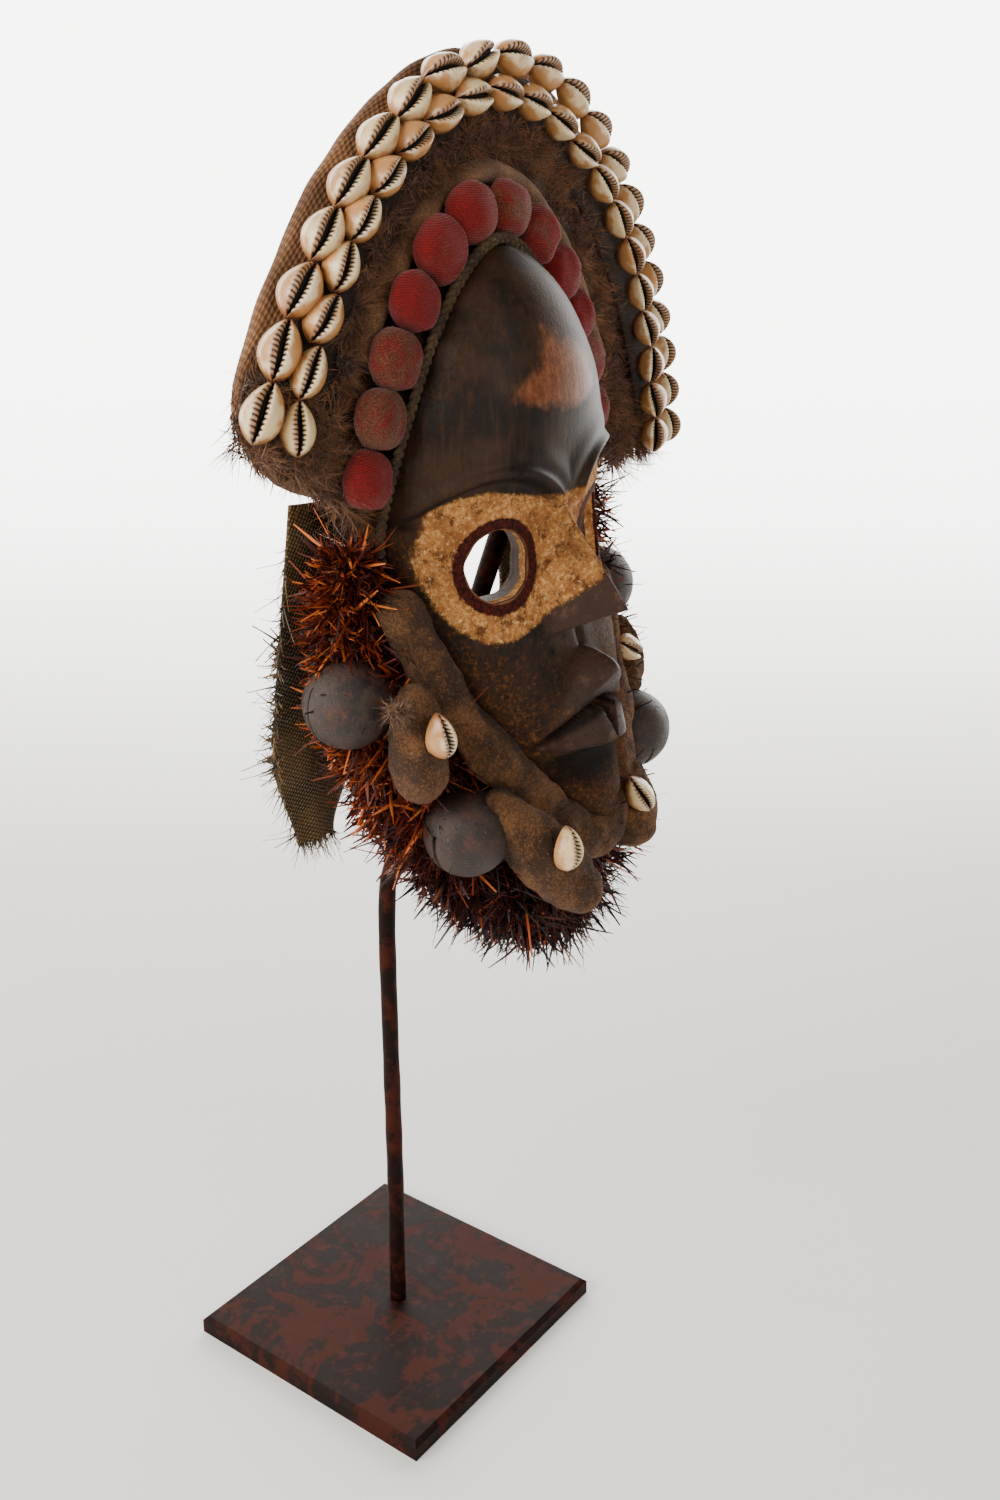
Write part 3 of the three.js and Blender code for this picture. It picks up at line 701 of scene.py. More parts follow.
# %% [markdown]
# ### Where the paint and the polish are
#
# A chalky ochre band runs over both eyes and the bridge of the nose, each eye has a rough maroon ring, and
# hands have rubbed a chestnut patch on the forehead. Each of them is stored as a distance to its edge, so
# that the material can draw the edge as sharp or as ragged as it likes, whatever the size of the mesh's
# faces.

# %% Distance to an outline
BAND = [[0, 465], [16, 465.7], [25, 468], [38, 471.2], [48.5, 470.5], [57.5, 466.5], [61.8, 446], [60.8, 439],
        [57.1, 426], [51.8, 415.7], [44.7, 410], [34.4, 409.2], [19.6, 413.8], [9.5, 422.5], [0, 432]]
PATCH = [[-8, 529], [0, 524], [12, 521], [20, 515], [21, 505], [12, 500], [-4, 499], [-16, 499.5], [-27, 505],
         [-24, 512], [-13, 518]]


def inside_distance(corners, x, z):
    """Distance to the edge of a closed outline, positive inside it."""
    nearest, crossings = np.full(x.shape, 1e3), np.zeros(x.shape, int)
    ends = np.array(corners, float)
    for (ax, az), (bx, bz) in zip(ends, np.roll(ends, -1, axis=0)):
        share = ((x - ax) * (bx - ax) + (z - az) * (bz - az)) / ((bx - ax) ** 2 + (bz - az) ** 2)
        share = np.clip(share, 0, 1)
        nearest = np.minimum(nearest, np.hypot(x - mix(ax, bx, share), z - mix(az, bz, share)))
        if az != bz:
            hit = ((az > z) != (bz > z)) & (x < ax + (z - az) * (bx - ax) / (bz - az))
            crossings += hit
    return np.where(crossings % 2 == 1, nearest, -nearest)


def from_eye_axis(points, side):
    """How far each point is from the middle line of an eye's hole."""
    from_eye = points - np.array([side * EYE["x"], EYE["y"], EYE["z"]])
    axis = eye_axis(side)
    return np.linalg.norm(from_eye - (from_eye @ axis)[:, None] * axis, axis=1)


upright = straighten(points_of(face_mesh))
x, y, z = upright.T
FAR_OUTSIDE, FAR_FROM_EYE = -20, 60
ahead = y < plain_front(x, z) + 4
store(face_mesh, "front", ahead.astype(float))
store(face_mesh, "band", np.where(ahead, inside_distance(BAND, np.abs(x), z), FAR_OUTSIDE))
store(face_mesh, "patch", np.where(ahead, inside_distance(PATCH, x, z), FAR_OUTSIDE))
eye_distance = np.minimum(from_eye_axis(upright, -1), from_eye_axis(upright, 1))
store(face_mesh, "eye", np.where(ahead, eye_distance, FAR_FROM_EYE))
print("points on the front:", int(ahead.sum()))

# %% [markdown]
# ### Wear, dust and painted shade
#
# Lips and nose are worn to a greyer brown, and dust lies along the temples and low on the cheeks. Shade is
# painted in as dark colour under the lower lip, where the wood also has a dark patina, between the lips,
# under the brows and in a few small holes; the same mask holds a real dark stain on the bridge of the nose.
# Each of these is one number at every point of the mesh.

# %% Wear on the wood
SMALL_HOLES = [(-30.3, 477.7, 1.3), (-18.5, 401, 1.7), (-9.5, 405.5, 1.0), (-62, 460, 2.2)]


def stands_out(corners, x, z, soft):
    """1 where a wedge stands 3 mm or more out of the plain front."""
    return ease(0.0, 3.0, plain_front(x, z) - wedge_height(corners, x, z, soft))


lips = np.maximum(stands_out(UPPER_LIP, x, z, 1.7), stands_out(LOWER_LIP, x, z, 0.7)) * ease(398, 388, z)
nose = stands_out(NOSE, x, z, 0.7) * ease(434, 430, z) * ease(404, 408, z)
store(face_mesh, "lips", np.where(ahead, np.maximum(lips, nose), 0))
edge = np.abs(x) / np.maximum(20, half_width(z))
low_dust = 0.4 * ease(0.4, 1.0, edge) + 0.3 * ease(420, 385, z) + 0.25 * ease(475, 455, z)
low_dust = low_dust + 0.35 * ease(350, 338, z) + 0.4 * ease(8, 16, x) * ease(432, 420, z) - 0.18
store(face_mesh, "dusty", low_dust)
# Painted shade under the lower lip (with patina), between the lips, under the brows and in small holes
under = ease(357.2, 355.6, z) * ease(335, 347, z) * ease(36, 20, np.abs(x))
seam = np.exp(-((z - (376.5 - 0.42 * np.abs(x))) / 1.8) ** 2) * ease(34, 28, np.abs(x))
brows = np.exp(-((from_brow(x, z) - 28.6) / 1.3) ** 2) * ease(9, 17, z - BROW_Z)
holes = [np.exp(-((x - at[0]) ** 2 + (z - at[1]) ** 2) / at[2] ** 2) for at in SMALL_HOLES]
# A real dark stain on the bridge of the nose
stain = 0.75 * np.exp(-((x + 4.5) / 3.5) ** 2 - ((z - 441) / 6.5) ** 2)
painted_shade_and_stain = np.clip(np.maximum.reduce([under, seam, brows * 0.9, stain, *holes]), 0, 1)
store(face_mesh, "shade", np.where(ahead, painted_shade_and_stain, 0))
print("most soot:", painted_shade_and_stain.max().round(2), "most dust:", low_dust.max().round(2))

# %% [markdown]
# ## The wood's finish
#
# The finish is laid on in layers, the real ones in the order in which they came about: dark wood with a faint
# grain, dust, the rubbed patch and worn lips, then painted shade and a real stain, then the chalky ochre
# band, the maroon rings and the raw edge of the holes. Each layer is a blend over the last, and noise makes
# its edge ragged.

# %% Wood finish
def dark_wood(f, grain, cloud, dust, spots):
    """Dark wood with dust, a rubbed patch, worn lips, painted shade and a stain; also how dusty and how
    rubbed it is.
    """
    wood = f.blend(f.ramp(cloud, 0.38, 0.62), (0.0085, 0.0062, 0.005), (0.026, 0.0155, 0.0095))
    wood = f.blend(f.ramp(grain, 0.45, 0.75) * 0.4, wood, (0.05, 0.027, 0.014))
    dusty = f.ramp(dust * 0.55 + spots * 0.75 + f.stored("dusty") * 0.36, 0.74, 0.98)
    brown_dust = f.blend(f.ramp(spots, 0.45, 0.72), (0.034, 0.018, 0.009), (0.19, 0.09, 0.036))
    wood = f.blend(dusty * 0.62, wood, brown_dust)
    patch = f.ramp(f.stored("patch") + (cloud - 0.5) * 16 + (dust - 0.5) * 12, -2.5, 3.5)
    rubbed = f.ramp(spots * 0.6 + grain * 0.4, 0.35, 0.65)
    wood = f.blend(patch * 0.9, wood, f.blend(rubbed, (0.085, 0.036, 0.018), (0.2, 0.092, 0.048)))
    worn = f.blend(f.ramp(dust, 0.5, 0.7), (0.034, 0.0215, 0.0165), (0.11, 0.067, 0.047))
    wood = f.blend(f.stored("lips") * 0.8, wood, worn)
    # Painted shade, partly patina under the lower lip, and the nose stain, as near-black colour
    wood = f.blend(f.stored("shade") * 0.85, wood, (0.004, 0.003, 0.0025))
    inside = f.blend(f.ramp(grain, 0.3, 0.7), (0.04, 0.022, 0.012), (0.1, 0.06, 0.034))
    return f.blend(f.stored("front"), inside, wood), dusty, patch


def chalky_ochre(f, speck, fine):
    """Ochre that is speckled, worn, pitted and scratched."""
    pits, worn = f.noise(6, detail=6, rough=0.75), f.noise(15, detail=6, rough=0.65)
    ochre = f.blend(f.ramp(speck, 0.38, 0.64), (0.25, 0.118, 0.046), (0.55, 0.33, 0.14))
    ochre = f.blend(f.ramp(worn + (speck - 0.5) * 0.25, 0.46, 0.62) * 0.75, ochre, (0.16, 0.072, 0.029))
    ochre = f.blend(f.ramp(pits + speck * 0.3, 0.66, 0.76) * 0.85, ochre, (0.05, 0.022, 0.01))
    ochre = f.blend(f.ramp(speck + fine * 0.5, 0.8, 0.92) * 0.7, ochre, (0.68, 0.5, 0.28))
    scratch = f.noise(1.6, detail=4, rough=0.7, scale=(0.35, 1, 1))
    return f.blend(f.ramp(scratch, 0.6, 0.68) * 0.8, ochre, (0.045, 0.02, 0.009))


def wood_finish():
    f = Finish("carved_wood")
    grain = f.noise(2.0, detail=4, scale=(1, 1, 0.1))
    cloud, fine = f.noise(30, detail=4), f.noise(1.3, detail=4, rough=0.7)
    dust, spots = f.noise(9, detail=7, rough=0.75), f.noise(1.9, detail=5, rough=0.8)
    wood, dusty, patch = dark_wood(f, grain, cloud, dust, spots)
    speck = f.noise(1.7, detail=6, rough=0.8)
    band = f.ramp(f.stored("band") + (speck - 0.5) * 3.4, -0.6, 0.9)
    wood = f.blend(band, wood, chalky_ochre(f, speck, fine))
    ring = f.ramp(f.stored("eye") + (speck - 0.5) * 2.6, 20.4, 19.4)
    maroon = f.blend(f.ramp(speck, 0.4, 0.65), (0.012, 0.004, 0.0035), (0.075, 0.018, 0.012))
    wood = f.blend(ring, wood, maroon)
    bore = f.ramp(f.stored("eye"), 15.6, 15.0)
    raw = f.blend(f.ramp(spots, 0.35, 0.65), (0.07, 0.034, 0.016), (0.2, 0.115, 0.058))
    wood = f.blend(bore, wood, raw)
    shade = f.stored("shade")
    # More painted shade, and the nose stain, where they fall on the ochre band
    wood = f.blend(shade * band * 0.8, wood, (0.02, 0.008, 0.006))
    chalk = band.largest(ring).largest(bore)
    rough = 0.42 + fine * 0.14 + f.stored("dusty") * 0.25 + dusty * 0.2 - patch * 0.1
    rough = rough - f.stored("lips") * 0.08 + chalk * 0.4 + shade * 0.4
    height = grain * 0.06 + fine * 0.25 + cloud * 0.3 + dusty * spots * 0.8 + chalk * speck * 1.4
    return f.done(wood, rough, f.bump(height, 0.6), Specular_IOR_Level=0.15)


face = add_piece("carved_face", face_mesh, wood_finish(), ["wooden_mask"])
face_mesh.set_sharp_from_angle(angle=math.radians(50))

# %% [markdown]
# ## The stand
#
# The stand is a square steel plate and a bent round bar, both painted rust brown. The plate's solid is
# already right, so it only gets a finish; the bar is drawn again with more sides and the slight waviness of
# a bent rod.

# %% Tubes
def tube_points(path, radius, sides, flat=1.0):
    """Rings of points round a path, squared up with the front; flat squashes them."""
    path = np.asarray(path, float)
    run = unit(np.gradient(path, axis=-2))
    side = unit(np.cross(run, [0, 1, 0]))
    up = np.cross(side, run)
    turn = np.linspace(0, 2 * np.pi, sides, endpoint=False)
    radius = np.broadcast_to(np.asarray(radius, float), path.shape[:-1])[..., None, None]
    ring = np.cos(turn)[:, None] * side[..., None, :] + flat * np.sin(turn)[:, None] * up[..., None, :]
    return path[..., None, :] + radius * ring


def smooth_between(ends, place):
    """A smooth line through points, read at places that count the points from the second one."""
    k = place.astype(int)
    t = (place - k)[:, None]
    a, b, c, d = ends[k], ends[k + 1], ends[k + 2], ends[k + 3]
    line = 2 * b + (c - a) * t
    line = line + (2 * a - 5 * b + 4 * c - d) * t ** 2
    return 0.5 * (line + (3 * b - a - 3 * c + d) * t ** 3)


def smooth_path(stations, count):
    """A smooth line through a few points and straight on at both ends."""
    ends = np.array(stations, float)
    ends = np.concatenate([[2 * ends[0] - ends[1]], ends, [2 * ends[-1] - ends[-2]]])
    return smooth_between(ends, np.linspace(0, len(stations) - 1.000001, count))


ROD_STATIONS = [[0, 0, 10.2], [0.5, 0, 90], [-0.3, 0, 180], [0, 0, 248], [0, -6, 276], [0, -30.7, 342],
                [0, -58, 412], [0, -83, 478]]
ROD_RADIUS, ROD_SIDES = 4.3, 24
rod_line = smooth_path(ROD_STATIONS, 120)
print("the rod's line is", np.linalg.norm(np.diff(rod_line, axis=0), axis=1).sum().round(), "mm long")

# %% [markdown]
# ## Painted steel
#
# The steel has a thin coat of rust-brown paint that has gone cloudy and streaked, with a few paler specks
# where it is worn. It is nearly matt, so the shader's specular level is low. The plate's edges get a fine
# bevel, because no real plate has knife-sharp edges and a bevel is what catches the light.

# %% Steel, plate and rod
def steel_finish():
    f = Finish("rust_painted_steel")
    cloud, fine = f.noise(38, detail=6, rough=0.65, bend=1.2), f.noise(1.2, detail=4, rough=0.7)
    streak = f.noise(7, detail=5, rough=0.65)
    patchy = f.ramp(cloud + (streak - 0.5) * 0.3, 0.46, 0.56)
    paint = f.blend(patchy, (0.0085, 0.005, 0.0042), (0.03, 0.0105, 0.0068))
    paint = f.blend(f.ramp(streak, 0.5, 0.72) * 0.5, paint, (0.036, 0.013, 0.0085))
    paint = f.blend(f.ramp(fine, 0.6, 0.75) * 0.4, paint, (0.08, 0.036, 0.023))
    rough = 0.42 + fine * 0.14 + f.ramp(cloud, 0.4, 0.6) * 0.12
    return f.done(paint, rough, f.bump(fine * 0.4 + streak * 0.3, 0.25, 0.6), Specular_IOR_Level=0.05)


steel = steel_finish()
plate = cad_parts["base_plate"]
plate.data.materials.clear()
plate.data.materials.append(steel)
bevel = plate.modifiers.new("worn_edges", "BEVEL")
bevel.width, bevel.segments, bevel.limit_method = 0.0008, 3, "ANGLE"
rod_rings = tube_points(rod_line, ROD_RADIUS + 0.12 * wobble(rod_line, 18, 3), ROD_SIDES)
add_piece("bent_rod", closed_mesh("bent_rod", rod_rings), steel, ["stand_rod"])

# %% [markdown]
# ## Cord round the forehead
#
# A thin three-strand braid hides the joint between wood and cloth. It needs a finish for worn cloth, which
# most soft pieces share: mottled, dusty on what stands up, with painted shade between the threads and a woven
# bump.

# %% Worn cloth
def cloth_finish(name, low, high, grey, pitch=0.8, shine=0.0):
    """Worn cloth or cord: fine mottling, dust and a small woven bump."""
    f = Finish(name)
    cloud, fine, mesh = f.noise(13, detail=5), f.noise(0.9, detail=4, rough=0.7), f.cells(pitch, chance=0.7)
    colour = f.blend(f.ramp(cloud, 0.35, 0.65), low, high)
    colour = f.blend(f.ramp(fine, 0.5, 0.75) * 0.7, colour, grey)
    # Painted shade between the threads, where the cells meet
    colour = f.blend(f.ramp(mesh, 0.35, 0.75) * 0.5, colour, tuple(0.45 * c for c in low))
    height = mesh * -0.7 + fine * 0.7
    return f.done(colour, 0.95, f.bump(height, 0.45, 0.9), Sheen_Weight=shine, Sheen_Roughness=0.6)


braid_look = cloth_finish("braided_cord", (0.028, 0.018, 0.009), (0.07, 0.047, 0.023),
                          (0.16, 0.11, 0.055), 0.5)
print("nodes in the cord's finish:", len(braid_look.node_tree.nodes))

# %% [markdown]
# ### Three strands
#
# Each strand swings from side to side once for every two swings in and out. The three are a third of a turn
# apart, which is all that a braid is, so the same formula draws them all.

# %% Braid
def distance_run(line):
    """How far along a line each of its points lies."""
    return np.concatenate([[0], np.cumsum(np.linalg.norm(np.diff(line, axis=0), axis=1))])


def braid_mesh(name, line, pitch, spread, radius, sides=8):
    phase = distance_run(line) * (2 * np.pi / pitch)
    run = unit(np.gradient(line, axis=0))
    side = unit(np.cross(run, [0, 1, 0]))
    out = np.cross(side, run)
    points, faces = [], []
    for strand in range(3):
        turn = phase + strand * 2 * np.pi / 3
        swing = spread * np.sin(turn)[:, None] * side + 0.55 * spread * np.sin(2 * turn)[:, None] * out
        rings = tube_points(line + swing, radius, sides)
        faces.append(grid_faces(len(line), sides, round_columns=True) + sum(len(p) for p in points))
        points.append(rings.reshape(-1, 3))
    return new_mesh(name, np.concatenate(points), np.concatenate(faces))


angles = np.linspace(-1.64, 1.64, 560)
x, z = outline(angles, 2.1)
cord_line = lean(np.stack([x, along(EDGE, z) + 0.6, z], -1))
braid = braid_mesh("forehead_braid", cord_line, 11.0, 1.35, 1.15)
add_piece("forehead_braid", braid, braid_look, ["forehead_cord"])

# %% [markdown]
# ## Stuffing by simulation
#
# A sewn pad swells until its cloth is tight and puckers where it is tied. Blender's Cloth modifier with a
# little pressure does that by itself. The mesh is made ten times larger while it runs, because the solver is
# tuned for garments, and no point may move further than a cap, so that the pad stays clear of its
# neighbours.

# %% Cloth simulation
GROWN, CLOTH_FRAMES = 10, 20


def stuff(points, faces, cap, pressure, slack, held=None):
    """The points after the cloth has swelled; held lists the points that stay sewn down."""
    points = np.asarray(points, float)
    body = put_in_scene("stuffing", new_mesh("stuffing", points * GROWN, faces))
    cloth = body.modifiers.new("cloth", "CLOTH")
    cloth.settings.quality = 6
    cloth.settings.mass = 0.25
    cloth.settings.use_pressure = True
    cloth.settings.uniform_pressure_force = pressure
    cloth.settings.shrink_min = -slack
    cloth.settings.bending_stiffness = 0.4
    cloth.settings.effector_weights.gravity = 0
    cloth.point_cache.frame_start, cloth.point_cache.frame_end = 1, CLOTH_FRAMES
    if held is not None:
        group = body.vertex_groups.new(name="sewn")
        group.add([int(i) for i in held], 1.0, "REPLACE")
        cloth.settings.vertex_group_mass = "sewn"
    scene = bpy.context.scene
    for step in range(1, CLOTH_FRAMES + 1):
        scene.frame_set(step)
    drawn = body.evaluated_get(bpy.context.evaluated_depsgraph_get()).to_mesh()
    swelled = points_of(drawn) / GROWN
    bpy.data.objects.remove(body)
    scene.frame_set(1)
    move = swelled - points
    far = np.linalg.norm(move, axis=1, keepdims=True)
    print("the free cloth moved up to", far.max().round(2), "mm, cut back to", cap)
    return points + move * np.minimum(1, cap / np.maximum(far, 1e-6))


def soft_mesh(name, points, faces):
    """The mesh with one round of subdivision applied, so that folds stay smooth."""
    body = put_in_scene("body", new_mesh(name, points, faces))
    body.modifiers.new("smooth", "SUBSURF").levels = 1
    result = applied(body)
    bpy.data.objects.remove(body)
    face_outward(result)
    return result


print("cloth runs for", CLOTH_FRAMES, "frames on a mesh", GROWN, "times as large")


# %% [markdown]
# ## Red pads
#
# Twelve little pads of fine-ribbed red cloth stand side by side round the forehead. Each is a round bag, a
# bit wider than deep, drawn in at the back where it is sewn to the crest; dust has turned the upper ones
# brown.

# %% Red cloth
def red_finish():
    f = Finish("red_ribbed_cloth")
    rib = (f.stored("rib") * 7.4).sine()
    dust = f.noise(9, detail=6, rough=0.7)
    fine = f.noise(0.6, detail=4, rough=0.75)
    red = f.blend(f.ramp(fine, 0.35, 0.68), (0.055, 0.0028, 0.0028), (0.17, 0.0085, 0.0075))
    # Painted shade in the grooves between the ribs
    red = f.blend(f.ramp(rib, 0.1, -0.9) * 0.5, red, (0.022, 0.0016, 0.0016))
    worn = f.ramp(dust * 0.9 + f.stored("dusty") + fine * 0.3, 0.74, 1.02)
    brown_dust = f.blend(f.ramp(fine, 0.42, 0.66), (0.036, 0.016, 0.009), (0.15, 0.075, 0.038))
    red = f.blend(worn * 0.9, red, brown_dust)
    return f.done(red, 0.94, f.bump(rib * 0.3 + fine * 0.7, 0.3, 0.9), Sheen_Weight=0.12, Sheen_Roughness=0.5,
                  Specular_IOR_Level=0.25)


red = red_finish()
print("nodes in the red cloth:", len(red.node_tree.nodes))

# %% [markdown]
# ### One pad
#
# A pad starts as a ball whose corners are pushed out a little, so that it is squarish, and a wobble dents
# it. Its axis runs from front to back, which puts the gathered end of the bag where it is sewn down.

# %% Pad shape
PAD_DUST = [0.12, 0.34, 0.3, 0.06, 0.14, 0.16, 0.28, 0.2, 0.1, 0.1, 0.2, 0.3]
PAD_COUNT, PAD_RINGS, PAD_AROUND, PAD_OUT = 12, 22, 32, 14.4


def pad_points(seed):
    chance = np.random.default_rng(seed)
    down = np.linspace(0, np.pi, PAD_RINGS)[1:-1, None]
    turn = np.linspace(0, 2 * np.pi, PAD_AROUND, endpoint=False)[None]
    ball = np.stack([np.sin(down) * np.cos(turn), -np.cos(down) + 0 * turn, np.sin(down) * np.sin(turn)], -1)
    ball = np.concatenate([[[0, -1.0, 0]], ball.reshape(-1, 3), [[0, 1.0, 0]]])
    size = np.array([11.6, 8.6, 11.4]) * chance.uniform(0.96, 1.03, 3)
    square = np.sign(ball) * np.abs(ball) ** 0.88
    tied = 1 - 0.12 * ease(0.0, 0.9, ball[:, 1:2])
    points = square * size * tied
    return points + unit(ball) * (0.4 * wobble(ball * 10, 11, seed))[:, None]


def ball_faces(rings, around):
    """Faces of a ball that has one point at each pole."""
    body = grid_faces(rings - 2, around, round_columns=True) + 1
    last = (rings - 2) * around + 1
    first_fan = [[0, 1 + (j + 1) % around, 1 + j] for j in range(around)]
    last_fan = [[last, last - around + j, last - around + (j + 1) % around] for j in range(around)]
    return body.tolist() + first_fan + last_fan


def pad_spot(angle, out=PAD_OUT):
    x, z = outline(angle, out)
    return np.stack([x, z], -1)


PAD_FACES = ball_faces(PAD_RINGS, PAD_AROUND)
print("faces of a pad before it is subdivided:", len(PAD_FACES))

# %% [markdown]
# ### Twelve pads in a row
#
# All twelve are stuffed in one simulation, which is quicker than twelve. The last points of each pad are its
# sewn back and don't move. Then each pad becomes a piece of its own, and the height of every point is stored
# for the ribs.

# %% Pads in place
PAD_END, PAD_LIFT, SEWN_POINTS = 1.235, 7.6 + 1.05, 100
pad_angles = evenly(pad_spot, PAD_END, PAD_COUNT)
all_points, all_faces = [], []
for number, angle in enumerate(pad_angles):
    spot = pad_spot(angle)
    outward = unit(pad_spot(angle, 15.4) - spot)
    local = pad_points(number)
    deep = over_crest(angle, PAD_OUT, PAD_LIFT)[1]
    x = spot[0] + local[:, 0] * outward[1] + local[:, 2] * outward[0]
    z = spot[1] - local[:, 0] * outward[0] + local[:, 2] * outward[1]
    all_faces += [[int(i) + number * len(local) for i in face] for face in PAD_FACES]
    all_points.append(lean(np.stack([x, local[:, 1] + deep, z], -1)))
size = len(all_points[0])
sewn = np.concatenate([np.arange(size - SEWN_POINTS, size) + number * size for number in range(PAD_COUNT)])
swelled = stuff(np.concatenate(all_points), all_faces, cap=0.7, pressure=3.0, slack=0.06, held=sewn)
for number in range(PAD_COUNT):
    name = f"forehead_pad_{number + 1:02d}"
    mesh = soft_mesh(name, swelled[number * size:(number + 1) * size], PAD_FACES)
    height = points_of(mesh) @ unit(np.array([math.sin(pad_angles[number]) * 0.3, 0, 1]))
    store(mesh, "rib", height + 0.25 * wobble(points_of(mesh), 12, 70 + number))
    store(mesh, "dusty", np.full(len(mesh.vertices), PAD_DUST[number]))
    pad = add_piece(name, mesh, red, [f"red_pad_{number + 1:02d}"])

# %% [markdown]
# ## The stuffed crest
#
# A stuffed arch of ribbed brown cloth stands over the face. It is a sweep: the same round section is carried
# along the rim, thick in the middle and thin where it is sewn to the wood, and its two ends are rounded off.

# %% Crest shape
def crest_section(count):
    """The solid's section, rounded: shares of the way out and depths."""
    corners = np.array(CREST_FRONT + CREST_BACK)
    corners = np.concatenate([corners, corners[:1]])
    ends = np.concatenate([corners[-2:-1], corners, corners[1:3]])
    return smooth_between(ends, np.linspace(0, len(corners) - 1, count, endpoint=False))


def end_rounding(count, length, least):
    """How full each ring of a row is, so that both of its ends close like half a ball."""
    reach = np.minimum(np.arange(count), np.arange(count)[::-1]) / length
    return np.sqrt(np.clip(1 - (1 - np.clip(reach, 0, 1)) ** 2, least, 1))


def crest_rings(steps=170, count=72):
    section = crest_section(count)
    angle = np.linspace(-RIM_END, RIM_END, steps)
    rings = crest_point(angle[:, None], section[None, :, 0], section[None, :, 1])
    hearts = rings.mean(axis=1, keepdims=True)
    full = end_rounding(steps, 9, 0.02)
    rings = hearts + (rings - hearts) * full[:, None, None]
    # Behind the far rows the cloth stands a little further forward, so that no light shows between the shells
    far = ease(0.1, 1.0, angle / RIM_END)[:, None] * ease(0.6, 0.95, section[None, :, 0]) * full[:, None]
    return rings + far[..., None] * np.array([4.5, -5.5, 0])


rings = crest_rings()
crest_steps, crest_around = rings.shape[:2]
outward = unit(rings - rings.mean(axis=1, keepdims=True))
rings = rings + outward * 0.5 * wobble(rings.reshape(-1, 3), 30, 5).reshape(crest_steps, crest_around, 1)
print("crest rings and points round each:", crest_steps, crest_around)

# %% [markdown]
# ### Ribbed canvas
#
# The crest is covered in coarse ribbed cloth that age has greyed. Two sine waves give slanting ribs and
# short dashes across them. They must follow the cloth as it bends, so they read a map of places along and
# round the sweep, which the finish asks for by name.

# %% Ribbed cloth
def ribbed_finish():
    """Ribbed canvas: fine short slanting dashes, dark in the grooves, faded and dusty with handling."""
    f = Finish("ribbed_knit")
    run, girth = f.weave_map()
    bend = f.noise(6, detail=2)
    rib = ((girth * PER_METRE + run * 260 + bend * 1.2) * 3.4).sine()
    dash = ((run * PER_METRE - girth * 240) * 2.6 + rib * 0.5).sine()
    cloud, fine = f.noise(30, detail=5), f.noise(0.7, detail=4, rough=0.75)
    cloth = f.blend(f.ramp(cloud, 0.35, 0.65), (0.055, 0.029, 0.015), (0.13, 0.07, 0.036))
    raised = f.ramp(rib * 0.35 + dash * 0.45 + (fine - 0.5) * 1.6, -0.4, 0.95)
    dusted = f.blend(f.ramp(cloud, 0.4, 0.6), (0.19, 0.11, 0.056), (0.36, 0.225, 0.12))
    cloth = f.blend(raised * 0.7, cloth, dusted)
    cloth = f.blend(f.ramp(fine, 0.55, 0.75) * 0.5, cloth, (0.02, 0.011, 0.007))
    normal = f.bump(rib * 0.3 + dash * 0.25 + fine * 0.35, 0.45, 0.9)
    return f.done(cloth, 0.95, normal, Sheen_Weight=0.1, Sheen_Roughness=0.5, Specular_IOR_Level=0.25)


def add_weave_map(mesh, run, girth):
    """A map in metres along and round a piece, for patterns that follow the cloth."""
    layer = mesh.uv_layers.new(name="weave")
    corner = np.zeros(len(mesh.loops), int)
    mesh.loops.foreach_get("vertex_index", corner)
    pairs = np.stack([np.asarray(run).ravel()[corner], np.asarray(girth).ravel()[corner]], -1)
    layer.data.foreach_set("uv", (pairs * MM).ravel())


crest_faces = tube_faces(crest_steps, crest_around)
crest_points = stuff(rings.reshape(-1, 3), crest_faces, cap=1.0, pressure=1.5, slack=0.01)
crest_mesh = closed_mesh("crest_bolster", crest_points.reshape(crest_steps, crest_around, 3))
middle_run = distance_run(rings[:, 10])
girth = np.cumsum(np.linalg.norm(rings - np.roll(rings, 1, axis=1), axis=2), axis=1).mean(axis=0)
add_weave_map(crest_mesh, *np.broadcast_arrays(middle_run[:, None], girth[None]))
crest = add_piece("crest_bolster", crest_mesh, ribbed_finish(), ["stuffed_crest"])

# %% [markdown]
# ## Smooth strip behind the pads
#
# Between the pads and the plush runs a narrow strip of smooth brown cloth, rounded over a little stuffing.
# It is the crest's own front, lifted in a half circle across the strip's width, with a slow unevenness along
# it.

# %% Strip on the crest
STRIP_GAP = 0.5


def strip_mesh(name, start, end, high, reach, steps, across=14, swell=0.0):
    angle = evenly(lambda a: over_crest(a, start), reach, steps)[:, None]
    share = np.linspace(0, 1, across)[None]
    out = mix(start, end, share)
    place = np.stack([angle * 60 + 0 * share, share * 9 + 0 * angle, 0 * share + 0 * angle], -1)
    uneven = 1 + swell * wobble(place.reshape(-1, 3), 14, 8).reshape(steps, across)
    lift = STRIP_GAP + high * np.sqrt(np.clip(1 - (2 * share - 1) ** 2, 0, 1)) * uneven
    top = over_crest(angle, out, lift)
    base = over_crest(angle, out, STRIP_GAP)
    return closed_mesh(name, np.concatenate([top, base[:, ::-1]], 1))


brown = cloth_finish("brown_cloth", (0.07, 0.038, 0.02), (0.17, 0.095, 0.048), (0.32, 0.2, 0.1), 0.8, 0.05)
band = strip_mesh("backing_strip", 24.6, 35.6, 6.6, 1.06, 160, swell=0.12)
backing = add_piece("backing_strip", band, brown, ["pad_backing_band"])

# %% [markdown]
# ## Plush
#
# Between the strip and the shells the crest is covered with matted brown pile. A pad of cloth carries
# thousands of short bent hairs, each a narrow ribbon that tapers to a point; hairs that lie close together
# share a direction, which is what makes pile look matted.

